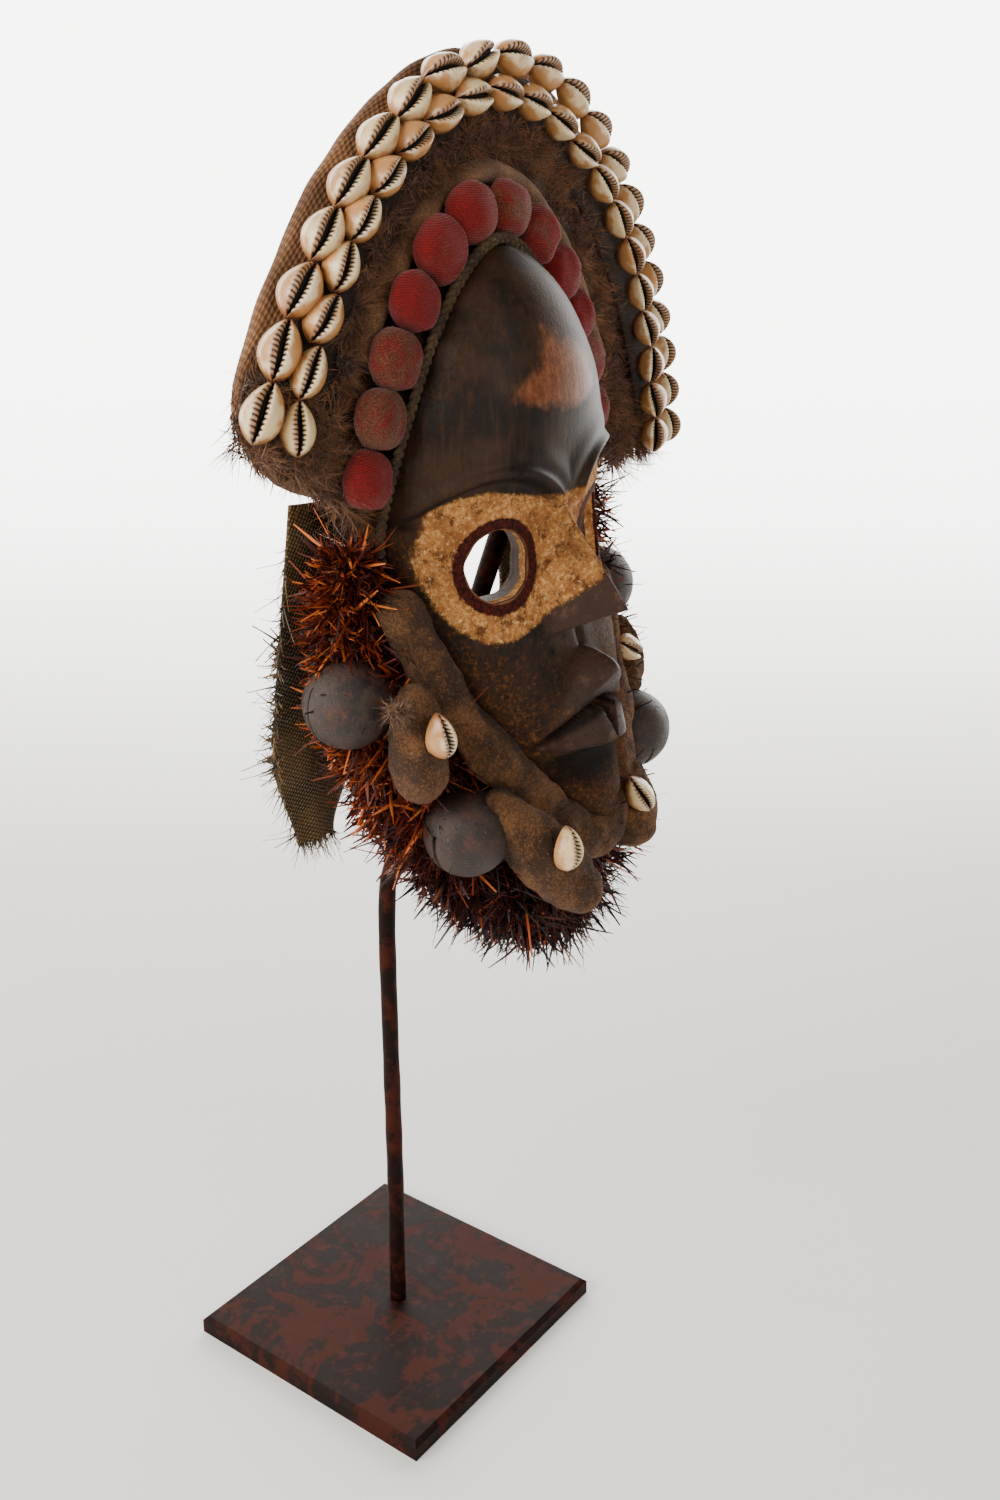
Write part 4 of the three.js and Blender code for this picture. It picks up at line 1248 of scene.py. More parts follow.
# %% Hairs
def hair_mesh(name, roots, ways, lengths, widths, seed, steps=4, droop=0.35, tints=None, taper=1.5,
              blunt=0.0):
    """Tapering ribbons: roots and directions per hair, bent towards a random side."""
    chance = np.random.default_rng(seed)
    count = len(roots)
    t = np.linspace(0, 1, steps)[None, :, None]
    sideways = unit(np.cross(ways, chance.normal(size=(count, 3))))
    bend = unit(chance.normal(size=(count, 3))) * chance.uniform(0.2, 1, (count, 1)) * droop
    line = roots[:, None] + lengths[:, None, None] * (t * ways[:, None] + t * t * bend[:, None])
    half = 0.5 * widths[:, None, None] * np.maximum(1.02 - t ** taper, blunt) * sideways[:, None]
    points = np.stack([line - half, line + half], 2)
    quads = grid_faces(steps, 2)[None] + np.arange(count)[:, None, None] * steps * 2
    mesh = bpy.data.meshes.new(name)
    flat = quads.reshape(-1, 4)
    mesh.from_pydata((points.reshape(-1, 3) * MM).tolist(), [], flat.tolist())
    tints = chance.uniform(0, 1, count) if tints is None else tints
    store(mesh, "tint", np.repeat(tints, steps * 2))
    store(mesh, "tip", np.tile(np.repeat(t.ravel(), 2), count))
    return mesh


def hair_sizes(chance, total, long, wide):
    """A random length and width for each hair."""
    return chance.uniform(*long, total), chance.uniform(*wide, total)


def hair_finish(name, dark, middle, light):
    f = Finish(name)
    tint = f.stored("tint")
    colour = f.blend(f.ramp(tint, 0.0, 0.55), dark, middle)
    colour = f.blend(f.ramp(tint, 0.6, 1.0), colour, light)
    colour = f.blend(f.stored("tip") * 0.5, colour, light)
    return f.done(colour, 0.75, Sheen_Weight=0.2, Sheen_Roughness=0.5)


plush_look = cloth_finish("plush_ground", (0.02, 0.01, 0.0055), (0.05, 0.026, 0.014),
                          (0.08, 0.045, 0.024), 1.4)
plush_mesh = strip_mesh("plush_pad", 33.2, 44.4, 3.2, 0.86, 120, swell=0.25)
add_piece("plush_pad", plush_mesh, plush_look, ["crest_plush_lining"])

# %% [markdown]
# ### Matted pile
#
# The roots are scattered along the arch with a seeded random generator. A slow wobble gives every
# neighbourhood its own direction and its own tone, and each hair strays from that a little, so that the pile
# falls into locks. The material reads the tone that is stored with each hair and fades towards a lighter
# tip.

# %% Pile on the crest
def clumped(roots, size, seed, wide, middle):
    """A direction that neighbours share; wide and middle are its spread and its mean on each axis."""
    waves = [wide[k] * wobble(roots, size, seed + k) + middle[k] for k in range(3)]
    return np.stack(waves, -1)


def pile_roots(total, chance):
    """Along the whole arch between the strip and the shells, and all over its two lower ends."""
    angle = chance.uniform(-1.4, 1.4, total)
    wide = crest_width(angle)
    start = mix(36.0, 7.0, ease(1.03, 1.25, np.abs(angle)))
    stop = wide - mix(31, 3, ease(1.16, 1.34, np.abs(angle)))
    out = mix(start, np.maximum(start + 4, stop), chance.uniform(0, 1, total))
    return over_crest(angle, out, np.where((out > 33) & (out < 44), 2.0, 0.3))


chance = np.random.default_rng(11)
total = 19000
roots = pile_roots(total, chance)
clump = clumped(roots, 17, 21, (1.2, 0.7, 1.3), (0, -0.7, -0.4))
ways = unit(clump + 0.4 * chance.normal(size=clump.shape))
lock = 0.48 + 0.45 * wobble(roots, 9, 24) + 0.16 * chance.normal(size=total)
lengths, widths = hair_sizes(chance, total, (4.0, 9.5), (0.3, 0.6))
hair = hair_mesh("crest_pile", roots, ways, lengths, widths, 12, droop=0.8, tints=np.clip(lock, 0, 1))
pile_look = hair_finish("brown_pile", (0.012, 0.0055, 0.003), (0.055, 0.026, 0.012), (0.23, 0.12, 0.055))
add_piece("crest_pile", hair, pile_look)

# %% [markdown]
# ## A dark sheet of painted shade under the shells
#
# Under the shells lies a strip of nearly black cloth, which shows as dark gaps between them: painted shade
# between the shells. It is one thin closed sheet just over the crest's front. Towards the far side it stands
# forward with the shells, so that no light shows between them.

# %% Dark sheet of painted shade
def ground_mesh(name, steps=200, across=12):
    angle = np.linspace(-1.3, 1.3, steps)[:, None]
    wide = crest_width(angle)
    out = mix(wide - 36, wide - 9, np.linspace(0, 1, across)[None])
    top = over_crest(angle, out, 1.4)
    uneven = 0.3 * wobble(top.reshape(-1, 3), 8, 45).reshape(steps, across, 1)
    top = top + uneven * np.array([0, 1.0, 0])
    base = over_crest(angle, out, 0.2)
    far = ease(0.1, 1.0, angle / RIM_END)[..., None] * np.array([4.0, -5.5, 0])
    return closed_mesh(name, np.concatenate([top + far, (base + far)[:, ::-1]], 1))


# Near-black finish: painted shade between the shells
dark_look = cloth_finish("shade_sheet_under_shells", (0.008, 0.005, 0.0035), (0.022, 0.012, 0.007),
                         (0.05, 0.03, 0.017), 1.0)
add_piece("shade_sheet_under_shells", ground_mesh("shade_sheet_under_shells"), dark_look)

# %% [markdown]
# ## Frayed seams
#
# The crest's two ends are open seams with threads hanging out. Their roots are points of the stuffed cloth
# itself, taken from its first and last rings, so that no thread starts in the air.

# %% Frayed ends of the crest
NEAR_SHARE = 0.6


def frayed_ends(total, seed):
    """Threads that hang from the open seams at both ends of the crest, more of them at the near end."""
    chance = np.random.default_rng(seed)
    is_near = chance.uniform(0, 1, total) < NEAR_SHARE
    ring = np.where(is_near, chance.integers(1, 9, total), crest_steps - 1 - chance.integers(1, 9, total))
    roots = crest_points.reshape(crest_steps, crest_around, 3)[ring, chance.integers(0, crest_around, total)]
    ways = unit(np.stack([0.4 * chance.normal(size=total), -0.3 + 0.4 * chance.normal(size=total),
                          -1 + 0.3 * chance.normal(size=total)], -1))
    lengths, widths = hair_sizes(chance, total, (2, 7), (0.3, 0.8))
    return hair_mesh("crest_fray", roots, ways, lengths, widths, seed, steps=5, droop=0.8)


add_piece("crest_fray", frayed_ends(1800, 61), pile_look)

# %% [markdown]
# ## Wool on the crest's ends
#
# Below the last shells the cloth is covered with longer wool, all the way from the wood to the outer edge.
# It is the same kind of pile, with longer hairs and slower waves.

# %% Wool on both ends
def end_pile(total, seed):
    chance = np.random.default_rng(seed)
    angle = np.where(chance.uniform(0, 1, total) < NEAR_SHARE, -1, 1) * chance.uniform(1.22, 1.43, total)
    out = crest_width(angle) * chance.uniform(0.03, 0.98, total)
    roots = over_crest(angle, out, -0.5)
    clump = clumped(roots, 14, 25, (1.1, 0.6, 1), (0, -0.8, -0.6))
    ways = unit(clump + 0.45 * chance.normal(size=clump.shape))
    lock = np.clip(0.45 + 0.5 * wobble(roots, 10, 28) + 0.15 * chance.normal(size=total), 0, 1)
    lengths, widths = hair_sizes(chance, total, (4.5, 12), (0.3, 0.6))
    return hair_mesh("end_pile", roots, ways, lengths, widths, seed, droop=1.0, tints=lock)


add_piece("end_pile", end_pile(11000, 71), pile_look)

# %% [markdown]
# ## Cowrie shells
#
# The shells are money cowries with their backs cut away, sewn down mouth outward. Seen from the front each
# is an egg with a long toothed slit. A shell is a small grid: along its length, and across from flank to
# flank through the slit. Where the slit and the teeth lie is stored, so the finish can stain the shell and
# paint shade into the slit and between the teeth.

# %% One shell
def shell_points(length, wide, high, seed, rings=42, across=28):
    """Two swollen lips with a toothed groove between them, closed by a flat back."""
    chance = np.random.default_rng(seed)
    t = np.linspace(-1, 1, rings)[:, None]
    u = np.linspace(-1, 1, across)[None]
    u = 0.55 * u + 0.45 * u ** 3
    egg = np.clip(1 - t * t, 0, 1) ** 0.66 * (1 - 0.13 * t - 0.06 * t * t)
    slit = 0.05 * np.sin(t * 2.2 + chance.uniform(-0.6, 0.6)) + chance.uniform(-0.04, 0.04)
    from_slit = u - slit
    x = u * egg * wide / 2
    dome = np.clip(1 - np.abs(u) ** 2.3, 0, 1) ** 0.6
    lips = 0.1 * np.exp(-((np.abs(from_slit) - 0.45) / 0.2) ** 2)
    groove = 0.62 * np.exp(-(from_slit / (0.15 + 0.03 * np.sin(t * 2))) ** 2)
    tooth = np.cos(t * math.pi * 12) * np.exp(-((np.abs(from_slit) - 0.2) / 0.13) ** 2)
    tooth = tooth * np.clip(egg * 1.5, 0, 1)
    y = high * ((dome + lips) * egg ** 0.7 - groove * egg ** 0.45 - 0.3 + 0.035 * tooth)
    z = t * length / 2 * (1 - 0.03 * np.exp(-(from_slit / 0.2) ** 2))
    points = np.stack([x, y, z + 0 * u], -1)
    back = np.stack([x * 0.85, -0.34 * high + 0 * y, z * 0.96 + 0 * u], -1)[:, ::-4]
    facts = np.stack([from_slit, t + 0 * u, np.full(u.shape, chance.uniform()) + 0 * t], -1)
    blank = np.stack([back[..., 0] * 0 + 1.2, back[..., 0] * 0, back[..., 0] * 0 + 0.5], -1)
    return np.concatenate([points, back], 1), np.concatenate([facts, blank], 1)


print("points in one shell:", shell_points(20, 14, 9, 1)[0].shape[:2])

# %% [markdown]
# ### Many shells in one mesh
#
# Each shell gets three directions: along the row, out of the cloth, and square to both. Its own points are
# laid out on these three, and all shells of a row are joined into one mesh, as they are one row of sewing on
# the real thing.

# %% A row of shells
FACTS = ("from_slit", "lengthwise", "tint")


def shell_row(name, places, seed):
    """One mesh of many shells; each place is where, run, face, length, width and height."""
    points, facts, faces, start = [], [], [], 0
    for number, (at, run, face, length, wide, high) in enumerate(places):
        local, fact = shell_points(length, wide, high, seed + number)
        z = unit(run)
        y = unit(face - face.dot(z) * z)
        x = np.cross(y, z)
        points.append((at + local[..., :1] * x + local[..., 1:2] * y + local[..., 2:] * z).reshape(-1, 3))
        facts.append(fact.reshape(-1, 3))
        faces.append(grid_faces(*local.shape[:2], round_columns=True) + start)
        start += len(points[-1])
    mesh = new_mesh(name, np.concatenate(points), np.concatenate(faces))
    facts = np.concatenate(facts)
    for k, label in enumerate(FACTS):
        store(mesh, label, facts[:, k])
    return mesh


print("facts stored with a shell:", FACTS)

# %% [markdown]
# ### Ivory, teeth and stains
#
# The shell is glossy ivory that has yellowed towards the flanks and browned at both ends, where it was
# handled. The gaps between the teeth get painted shade, dark stripes from a sine wave along the slit, and the
# slit itself is painted nearly black as its shade. A thin coat in the shader gives the china gloss.

# %% Cowrie finish
TEETH = math.pi * 12


def cowrie_finish():
    f = Finish("cowrie_shell")
    across, lengthwise, tint = f.stored("from_slit"), f.stored("lengthwise"), f.stored("tint")
    away = across.math("ABSOLUTE", across)
    cloud, fine = f.noise(6.5, detail=4), f.noise(0.8, detail=3)
    ivory = f.blend(f.ramp(cloud + tint * 0.3, 0.4, 0.85), (0.64, 0.51, 0.31), (0.8, 0.72, 0.54))
    stain = f.ramp(away + (cloud - 0.5) * 2.1 + tint * 0.55, 0.62, 1.12)
    ivory = f.blend(stain * 0.9, ivory, (0.37, 0.19, 0.062))
    ends = f.ramp(lengthwise.math("ABSOLUTE", lengthwise) + (fine - 0.5) * 0.3, 0.74, 1.0)
    ivory = f.blend(ends * 0.8, ivory, (0.16, 0.06, 0.02))
    # Painted shade in the gaps between the teeth: short on one lip, long and browner on the other
    gap = f.ramp((lengthwise * TEETH + math.pi / 2).sine() + (fine - 0.5) * 0.5, 0.15, -0.35)
    short = f.ramp(away + (fine - 0.5) * 0.1, 0.36, 0.2)
    long_side = f.ramp(across + (fine - 0.5) * 0.1, 0.6, 0.34) * f.ramp(across, 0.0, 0.05)
    ivory = f.blend(long_side * 0.7, ivory, (0.24, 0.11, 0.045))
    ivory = f.blend(gap * short.largest(long_side), ivory, (0.045, 0.02, 0.012))
    # Painted shade: the slit is nearly black
    slit = f.ramp(away + (fine - 0.5) * 0.05, 0.17, 0.1)
    ivory = f.blend(slit, ivory, (0.008, 0.005, 0.004))
    rough = 0.28 + fine * 0.12 + slit * 0.5
    return f.done(ivory, rough, f.bump(cloud * 0.3 + fine * 0.2 - gap * short * 0.4, 0.25, 0.6),
                  Coat_Weight=0.2, Coat_Roughness=0.2)


cowrie_look = cowrie_finish()
print("nodes in the shells' finish:", len(cowrie_look.node_tree.nodes))

# %% [markdown]
# ### Where the shells lie
#
# The shells stand evenly along two ellipses, a little closer at the near end. Each is as long as the step to
# its neighbour, faces forward and outward, and sits a few degrees askew, because it was sewn on by hand.

# %% Both rows
def row_places(row, near, far, wide, high, shift=(0, 0, 0)):
    """Where each shell lies; they lean outward by a share that goes from near to far along the row."""
    chance = np.random.default_rng(int(row["half"] * 10))
    angles = evenly(lambda a: row_point(row, a), row["end"], row["count"], row["crowd"])
    places = []
    for i, angle in enumerate(angles):
        at = row_point(row, angle)
        before = row_point(row, angles[max(0, i - 1)])
        after = row_point(row, angles[min(row["count"] - 1, i + 1)])
        length = max(np.linalg.norm(before - at), np.linalg.norm(after - at)) + 0.3
        share = i / (row["count"] - 1)
        outward = mix(near, far, share)
        at = at + np.array(shift) * ease(0.5, 0.85, share)
        face = row_point(row, angle, outward) - row_point(row, angle) + np.array([0, -1, 0])
        run = unit(after - before)
        run = unit(run + 0.13 * chance.normal() * np.cross(unit(face), run))
        length = length * chance.uniform(0.96, 1.01)
        places.append((at, run, face, length, wide * chance.uniform(0.93, 1.04), high))
    return places


outer = shell_row("outer_cowries", row_places(OUTER_ROW, 0.95, -0.35, 16.2, 9.5), 100)
add_piece("outer_cowries", outer, cowrie_look, ["outer_cowrie_row"])
inner_places = row_places(INNER_ROW, 0.75, -1.1, 14.0, 8.8, (3.5, -3.0, 0))
inner = shell_row("inner_cowries", inner_places, 200)
add_piece("inner_cowries", inner, cowrie_look, ["inner_cowrie_row"])

# %% [markdown]
# ## The jaw roll and its lobes
#
# A thick roll of stuffed brown cloth follows the jaw from temple to temple. Four pear-shaped lobes hang from
# it, each with one cowrie sewn on. Old stuffing settles, so their surface gets broad dents and fine creases.

# %% Crochet
def knit_finish():
    """Worn crochet: small knots, painted shade in the creases, and brown dust on all that stands up."""
    f = Finish("brown_crochet")
    knot, cloud = f.noise(1.0, detail=4, rough=0.7), f.noise(17, detail=6, rough=0.6)
    fine = f.noise(0.6, detail=5, rough=0.8)
    base = f.blend(f.ramp(cloud, 0.38, 0.62), (0.028, 0.0155, 0.0085), (0.07, 0.038, 0.019))
    raised = f.ramp(knot + (fine - 0.5) * 0.5 + (cloud - 0.5) * 0.5, 0.44, 0.68)
    base = f.blend(raised * 0.7, base, (0.2, 0.108, 0.05))
    base = f.blend(f.ramp(fine, 0.5, 0.7) * 0.6, base, (0.011, 0.007, 0.004))
    # Painted shade in the creases
    base = f.blend(f.ramp(f.stored("crease"), 0.0, 1.0) * 0.8, base, (0.006, 0.004, 0.0025))
    height = knot * 1.1 + fine * 0.8
    return f.done(base, 0.96, f.bump(height, 0.8, 1.0), Sheen_Weight=0.04, Sheen_Roughness=0.5,
                  Specular_IOR_Level=0.25)


crochet = knit_finish()
print("nodes in the crochet:", len(crochet.node_tree.nodes))

# %% [markdown]
# ### Roll
#
# The roll is a tube along the jaw's outline. Its radius wobbles, its ends close, and the upper near end is
# thinner, because it runs out under the fibres there. Then it is stuffed like the pads, and a crease is
# pressed into it wherever a slow wave crosses nought.

# %% Creases and the roll
CREASE_DEPTH = 0.7


def add_creases(mesh, size, seed, width):
    """Pulls the cloth in along a few wavy lines and stores how deep, so that the finish can paint shade into
    them.
    """
    points = points_of(mesh)
    wave = np.exp(-(np.abs(wobble(points, size, seed)) / width) ** 2)
    deep = np.clip(wave, 0, 1) * (0.5 + 0.5 * np.clip(wobble(points, 30, 77), -1, 1))
    normals = np.zeros(len(points) * 3)
    mesh.vertices.foreach_get("normal", normals)
    moved = points - normals.reshape(-1, 3) * (CREASE_DEPTH * deep)[:, None]
    mesh.vertices.foreach_set("co", (moved * MM).ravel())
    store(mesh, "crease", np.clip(deep, 0, 1) ** 1.5)
    mesh.update()
    return mesh


ROLL_DEPTH = [[309, -115], [330, -108.5], [352, -98.6], [380, -86.7], [410, -77.6], [440, -68.5]]
ROLL_OUT, ROLL_RADIUS, ROLL_SIDES = 9.6, 10.4, 40
ROLL_START, ROLL_STOP = 1.92, 2 * np.pi - 1.68


def roll_line(count):
    angle = np.linspace(ROLL_START, ROLL_STOP, count)
    x, z = outline(angle, ROLL_OUT)
    return np.stack([x, along(ROLL_DEPTH, z), z], -1)


line = roll_line(150)[2:-2]
full = end_rounding(len(line), 6, 0.03) * mix(0.52, 1, ease(0, 38, np.arange(len(line))))
lumps = 1.02 + 0.08 * wobble(line, 30, 31)
roll_rings = tube_points(line, ROLL_RADIUS * full * lumps, ROLL_SIDES, flat=0.86)
ways = unit(roll_rings - line[:, None])
creases = 0.55 * wobble(roll_rings.reshape(-1, 3), 11, 32).reshape(roll_rings.shape[:2])
roll_rings = lean(roll_rings + ways * (creases * full[:, None])[..., None])
roll_faces = tube_faces(len(line), ROLL_SIDES)
roll_points = stuff(roll_rings.reshape(-1, 3), roll_faces, cap=0.7, pressure=2.0, slack=0.02)
roll_mesh = add_creases(soft_mesh("stuffed_jaw_roll", roll_points, roll_faces), 34, 91, 0.045)
roll = add_piece("stuffed_jaw_roll", roll_mesh, crochet, ["jaw_roll"])

# %% [markdown]
# ### Lobes
#
# Each lobe is a tube from its tied top to its round end, whose radius follows the table DROP. The table
# LOBES gives for each its top, its end, its radius, the way its shell looks, the way its shell runs and how
# far down the shell is sewn. The first rings are the tied top and stay in place while the rest swells.

# %% Lobe shape
LOBES = {
    "right_upper": ([-70, -79, 394], [-76.5, -88, 354.5], 12.8, [-0.22, -0.97, 0.1], [-0.12, 0, 1], 0.45),
    "right_lower": ([-50, -101, 345], [-20, -127, 299], 14.6, [-0.05, -0.98, 0.15], [0.1, 0, 1], 0.5),
    "left_upper": ([81, -78.5, 391], [78.6, -86, 357], 10.6, [-0.6, -0.78, 0.2], [0.9, 0, -0.5], 0.42),
    "left_lower": ([42, -109, 337], [40, -116, 302], 14, [-0.6, -0.78, 0.25], [-0.5, 0.3, 1], 0.42),
}
DROP = [[-0.02, 0.15], [0, 0.42], [0.22, 0.74], [0.5, 0.98], [0.76, 1], [1, 0.8], [1.1, 0.6], [1.16, 0.36],
        [1.18, 0.1]]
LOBE_RINGS, LOBE_SIDES = 40, 40
TIED_POINTS = 3 * LOBE_SIDES


def lobe_points(top, end, radius, seed):
    t = np.linspace(-0.015, 1.175, LOBE_RINGS)
    size = radius * np.interp(t, *np.array(DROP).T)
    size[1:-1] = (size[:-2] + 2 * size[1:-1] + size[2:]) / 4
    line = top + t[:, None] * (end - top)
    points = tube_points(line, size, LOBE_SIDES)
    dents = 0.5 * wobble(points.reshape(-1, 3), 13, seed) + 0.22 * wobble(points.reshape(-1, 3), 5, seed + 1)
    dents = dents.reshape(LOBE_RINGS, LOBE_SIDES) * size[:, None] / radius
    return points + unit(points - line[:, None]) * dents[..., None]


lobe_faces = tube_faces(LOBE_RINGS, LOBE_SIDES)
print("faces of a lobe before it is subdivided:", len(lobe_faces))

# %% [markdown]
# ### Four lobes and their shells
#
# Every lobe goes through the same steps: points, stuffing, subdivision, creases. Its shell is a row of one,
# set on the lobe's surface, so it needs no code of its own.

# %% Lobes and their shells
SHELL_SIZE, SHELL_LIFT = (19.5, 12.6, 8.2), 10.5 * 0.3
for number, (side, (*rows, radius, outward, run, share)) in enumerate(LOBES.items()):
    top, end = np.array(rows, float)
    points = lobe_points(top, end, radius, 300 + number).reshape(-1, 3)
    points = stuff(points, lobe_faces, cap=0.6, pressure=2.5, slack=0.04, held=range(TIED_POINTS))
    mesh = add_creases(soft_mesh(f"lobe_{side}", points, lobe_faces), 24, 95 + number, 0.05)
    lobe = add_piece(f"lobe_{side}", mesh, crochet, [f"jaw_lobe_{side}"])
    outward = unit(np.array(outward, float))
    middle = mix(top, end, share) + outward * (radius + SHELL_LIFT)
    place = (middle, np.array(run, float), outward, *SHELL_SIZE)
    mesh = shell_row(f"lobe_shell_{side}", [place], 400 + number)
    add_piece(f"lobe_shell_{side}", mesh, cowrie_look, [f"lobe_cowrie_{side}"])

# %% [markdown]
# ## Iron bells
#
# A crotal bell is a hollow ball of hammered iron sheet with one long slit, so that the pellet inside can
# ring. It is drawn as an outer and an inner ball; the slit is left out of both and its ragged lips join
# them.

# %% Ball and turn
BELL_RINGS, BELL_AROUND = 56, 84


def turned(points, turn):
    x, y = points[..., 0], points[..., 1]
    return np.stack([x * math.cos(turn) - y * math.sin(turn), x * math.sin(turn) + y * math.cos(turn),
                     points[..., 2]], -1)


def dented_ball(radius, label, dent, seed):
    down = np.linspace(0, np.pi, BELL_RINGS)[1:-1, None]
    spin = np.linspace(0, 2 * np.pi, BELL_AROUND, endpoint=False)[None]
    points = np.stack([np.sin(down) * np.cos(spin), np.sin(down) * np.sin(spin), np.cos(down) + 0 * spin], -1)
    points = np.concatenate([[[0, 0, 1.0]], points.reshape(-1, 3), [[0, 0, -1.0]]]) * radius
    points = points * (1 + dent * wobble(points, 16, seed))[:, None]
    # The two halves of the sheet meet in a raised seam round the middle
    seam = np.exp(-((points[:, 0]) / 0.55) ** 2) * dent * 14
    points = points * (1 + seam * 0.02)[:, None]
    mesh = new_mesh(label, points, ball_faces(BELL_RINGS, BELL_AROUND))
    face_outward(mesh)
    return mesh


print("faces of a ball:", len(ball_faces(BELL_RINGS, BELL_AROUND)))

# %% [markdown]
# ### The blade that cuts the slit
#
# A clean slit would look machined. The blade's two sides jag in and out and drift sideways, and its top edge
# climbs towards the back, so the crack tapers as it runs round the bell. The table BELLS gives each bell's
# middle, its turn about the upright, half the slit's width and how high the slit climbs.

# %% Bell mesh
OUTSIDE, INSIDE, BLADE_STATIONS = 18.45, 16.5, 60
BELLS = {
    "right_upper": ([-90.3, -57.6, 393.6], 1.3, 0.6, 12), "left_upper": ([90.3, -57.6, 393.6], -0.6, 0.8, -4),
    "right_lower": ([-64.1, -93, 333.7], 1.4, 0.9, 5), "left_lower": ([64.1, -93, 333.7], -0.4, 0.8, -4),
}


def slit_blade(wide, top, seed):
    chance = np.random.default_rng(seed)
    y = np.linspace(-18.5 * 1.02, 18.5 * 1.02, BLADE_STATIONS)
    share = np.linspace(0, 1, BLADE_STATIONS)
    jag = np.interp(share, np.linspace(0, 1, 21), chance.normal(size=21))
    drift = np.interp(share, np.linspace(0, 1, 9), chance.normal(size=9)) * 0.45
    half = wide * np.clip(1 + 0.3 * jag, 0.4, 1.9)
    high = mix(-4.6, top, ease(0.2, 0.9, y / 18.9))
    low = np.full(BLADE_STATIONS, -31.0)
    corners = [(-1, low), (1, low), (1, high), (-1, high)]
    lines = [np.stack([drift + side * half, y, z], -1) for side, z in corners]
    return closed_mesh("blade", np.stack(lines, 1))


def bell_ball(name, middle, turn, wide, top, seed):
    """Two nested balls, cut by a ragged blade that is a little thicker than the slit is wide."""
    hollow = dented_ball(INSIDE, "inside", 0.004, seed)
    mesh = cut_with(dented_ball(OUTSIDE, name, 0.006, seed), [hollow, slit_blade(wide, top, seed)])
    place = lean(turned(points_of(mesh), turn) + np.array(middle))
    mesh.vertices.foreach_set("co", (place * MM).ravel())
    return mesh


print("bells are", 2 * OUTSIDE, "mm across and", round(OUTSIDE - INSIDE, 2), "mm thick")

# %% [markdown]
# ### Hammered iron
#
# Old iron is dark with a faint brown rust, pitted, and has small bright scratches on what stands up. Round
# cells give the pits and a coarse noise the hammer marks.

# %% Iron finish and the bells
def iron_finish():
    f = Finish("bell_iron")
    cloud, fine, pit = f.noise(9, detail=6, rough=0.65), f.noise(1.5, detail=5, rough=0.8), f.cells(2.2)
    iron = f.blend(f.ramp(cloud, 0.36, 0.64), (0.011, 0.0078, 0.0068), (0.034, 0.022, 0.017))
    rust = f.ramp(f.noise(5, detail=6, rough=0.7) + fine * 0.3, 0.66, 0.86)
    iron = f.blend(rust * 0.7, iron, (0.07, 0.026, 0.013))
    iron = f.blend(f.ramp(fine, 0.58, 0.68) * 0.7, iron, (0.16, 0.11, 0.08))
    iron = f.blend(f.ramp(pit, 0.22, 0.06) * 0.6, iron, (0.008, 0.006, 0.005))
    rough = 0.38 + f.ramp(cloud, 0.4, 0.65) * 0.14 + fine * 0.2
    height = cloud * 0.4 + fine * 0.8 + f.ramp(pit, 0.25, 0.0) * -0.6
    return f.done(iron, rough, f.bump(height, 0.5, 1.0), Specular_IOR_Level=0.38)


iron = iron_finish()
for number, (side, (middle, turn, wide, top)) in enumerate(BELLS.items()):
    mesh = bell_ball(f"bell_{side}", middle, turn, wide, top, 500 + number)
    add_piece(f"bell_{side}", mesh, iron, [f"iron_bell_{side}"])

# %% [markdown]
# ## The beard
#
# A thick fringe of dry plant fibre, dyed red and brown, is sewn behind the jaw roll and combed outward. A
# nearly black bundle inside carries it, painted shade for the depth of the fringe, so that no light shows
# through; over it lie thousands of narrow bent ribbons. A place in the bundle is an angle along the jaw, a
# share of the way out and a share of the way back.

# %% Beard core
BEARD_REACH = [[0, 22], [0.3, 43], [0.6, 60], [1, 68]]
BEARD_END = 1.54


def beard_low(angle):
    """1 under the chin and 0 at the temples."""
    return 1 - np.abs(angle - np.pi) / (np.pi - BEARD_END)


def beard_point(angle, share, back):
    low = beard_low(angle)
    # The near side is a little fuller than the other, behind the upper bell
    reach = along(BEARD_REACH, low) + 15 * np.exp(-((angle - 2.0) / 0.42) ** 2)
    x, z = outline(angle, mix(1, reach, share))
    rim_z = outline(angle, 1.0)[1]
    at_wood = np.maximum(along(EDGE, rim_z), along(ROLL_DEPTH, rim_z)) + 13
    at_tips = -98 + 55 * (x / 100) ** 2
    thick = 10 * (1 - 0.35 * share)
    return lean(np.stack([x, mix(at_wood, at_tips, share) + back * thick, z], -1))


def beard_core():
    steps, across = 150, 18
    angle = np.linspace(1.8, 2 * np.pi - BEARD_END, steps)[:, None]
    share = np.linspace(0.0, 0.9, across)[None]
    place = np.stack([angle * 60, 0 * angle, 0 * angle], -1).reshape(-1, 3)
    ragged = 1 - 0.12 * ease(0.5, 1, share) * (0.5 + 0.5 * wobble(place, 7, 41).reshape(steps, 1))
    front = beard_point(angle, share * ragged, 0.12 + 0 * share)
    rear = beard_point(angle, share * ragged, 0.88 + 0 * share)[:, ::-1]
    loop = np.concatenate([front, rear], 1)
    loop = loop + (0.5 * wobble(loop.reshape(-1, 3), 6, 42)).reshape(steps, -1, 1) * np.array([0, 1.0, 0])
    return closed_mesh("beard_core", loop)


# Near-black finish: painted shade for the depth inside the beard
core_look = cloth_finish("beard_core", (0.006, 0.003, 0.0025), (0.022, 0.007, 0.0045), (0.04, 0.013, 0.007))
add_piece("beard_core", beard_core(), core_look, ["fibre_beard"])

# %% [markdown]
# ### Which way the strips point
#
# The real strips were combed outward once and have tangled since. Each direction is the way out through the
# bundle, plus a tangle that neighbours share, plus a stray of its own. Beside the near temple they hang back
# and down.

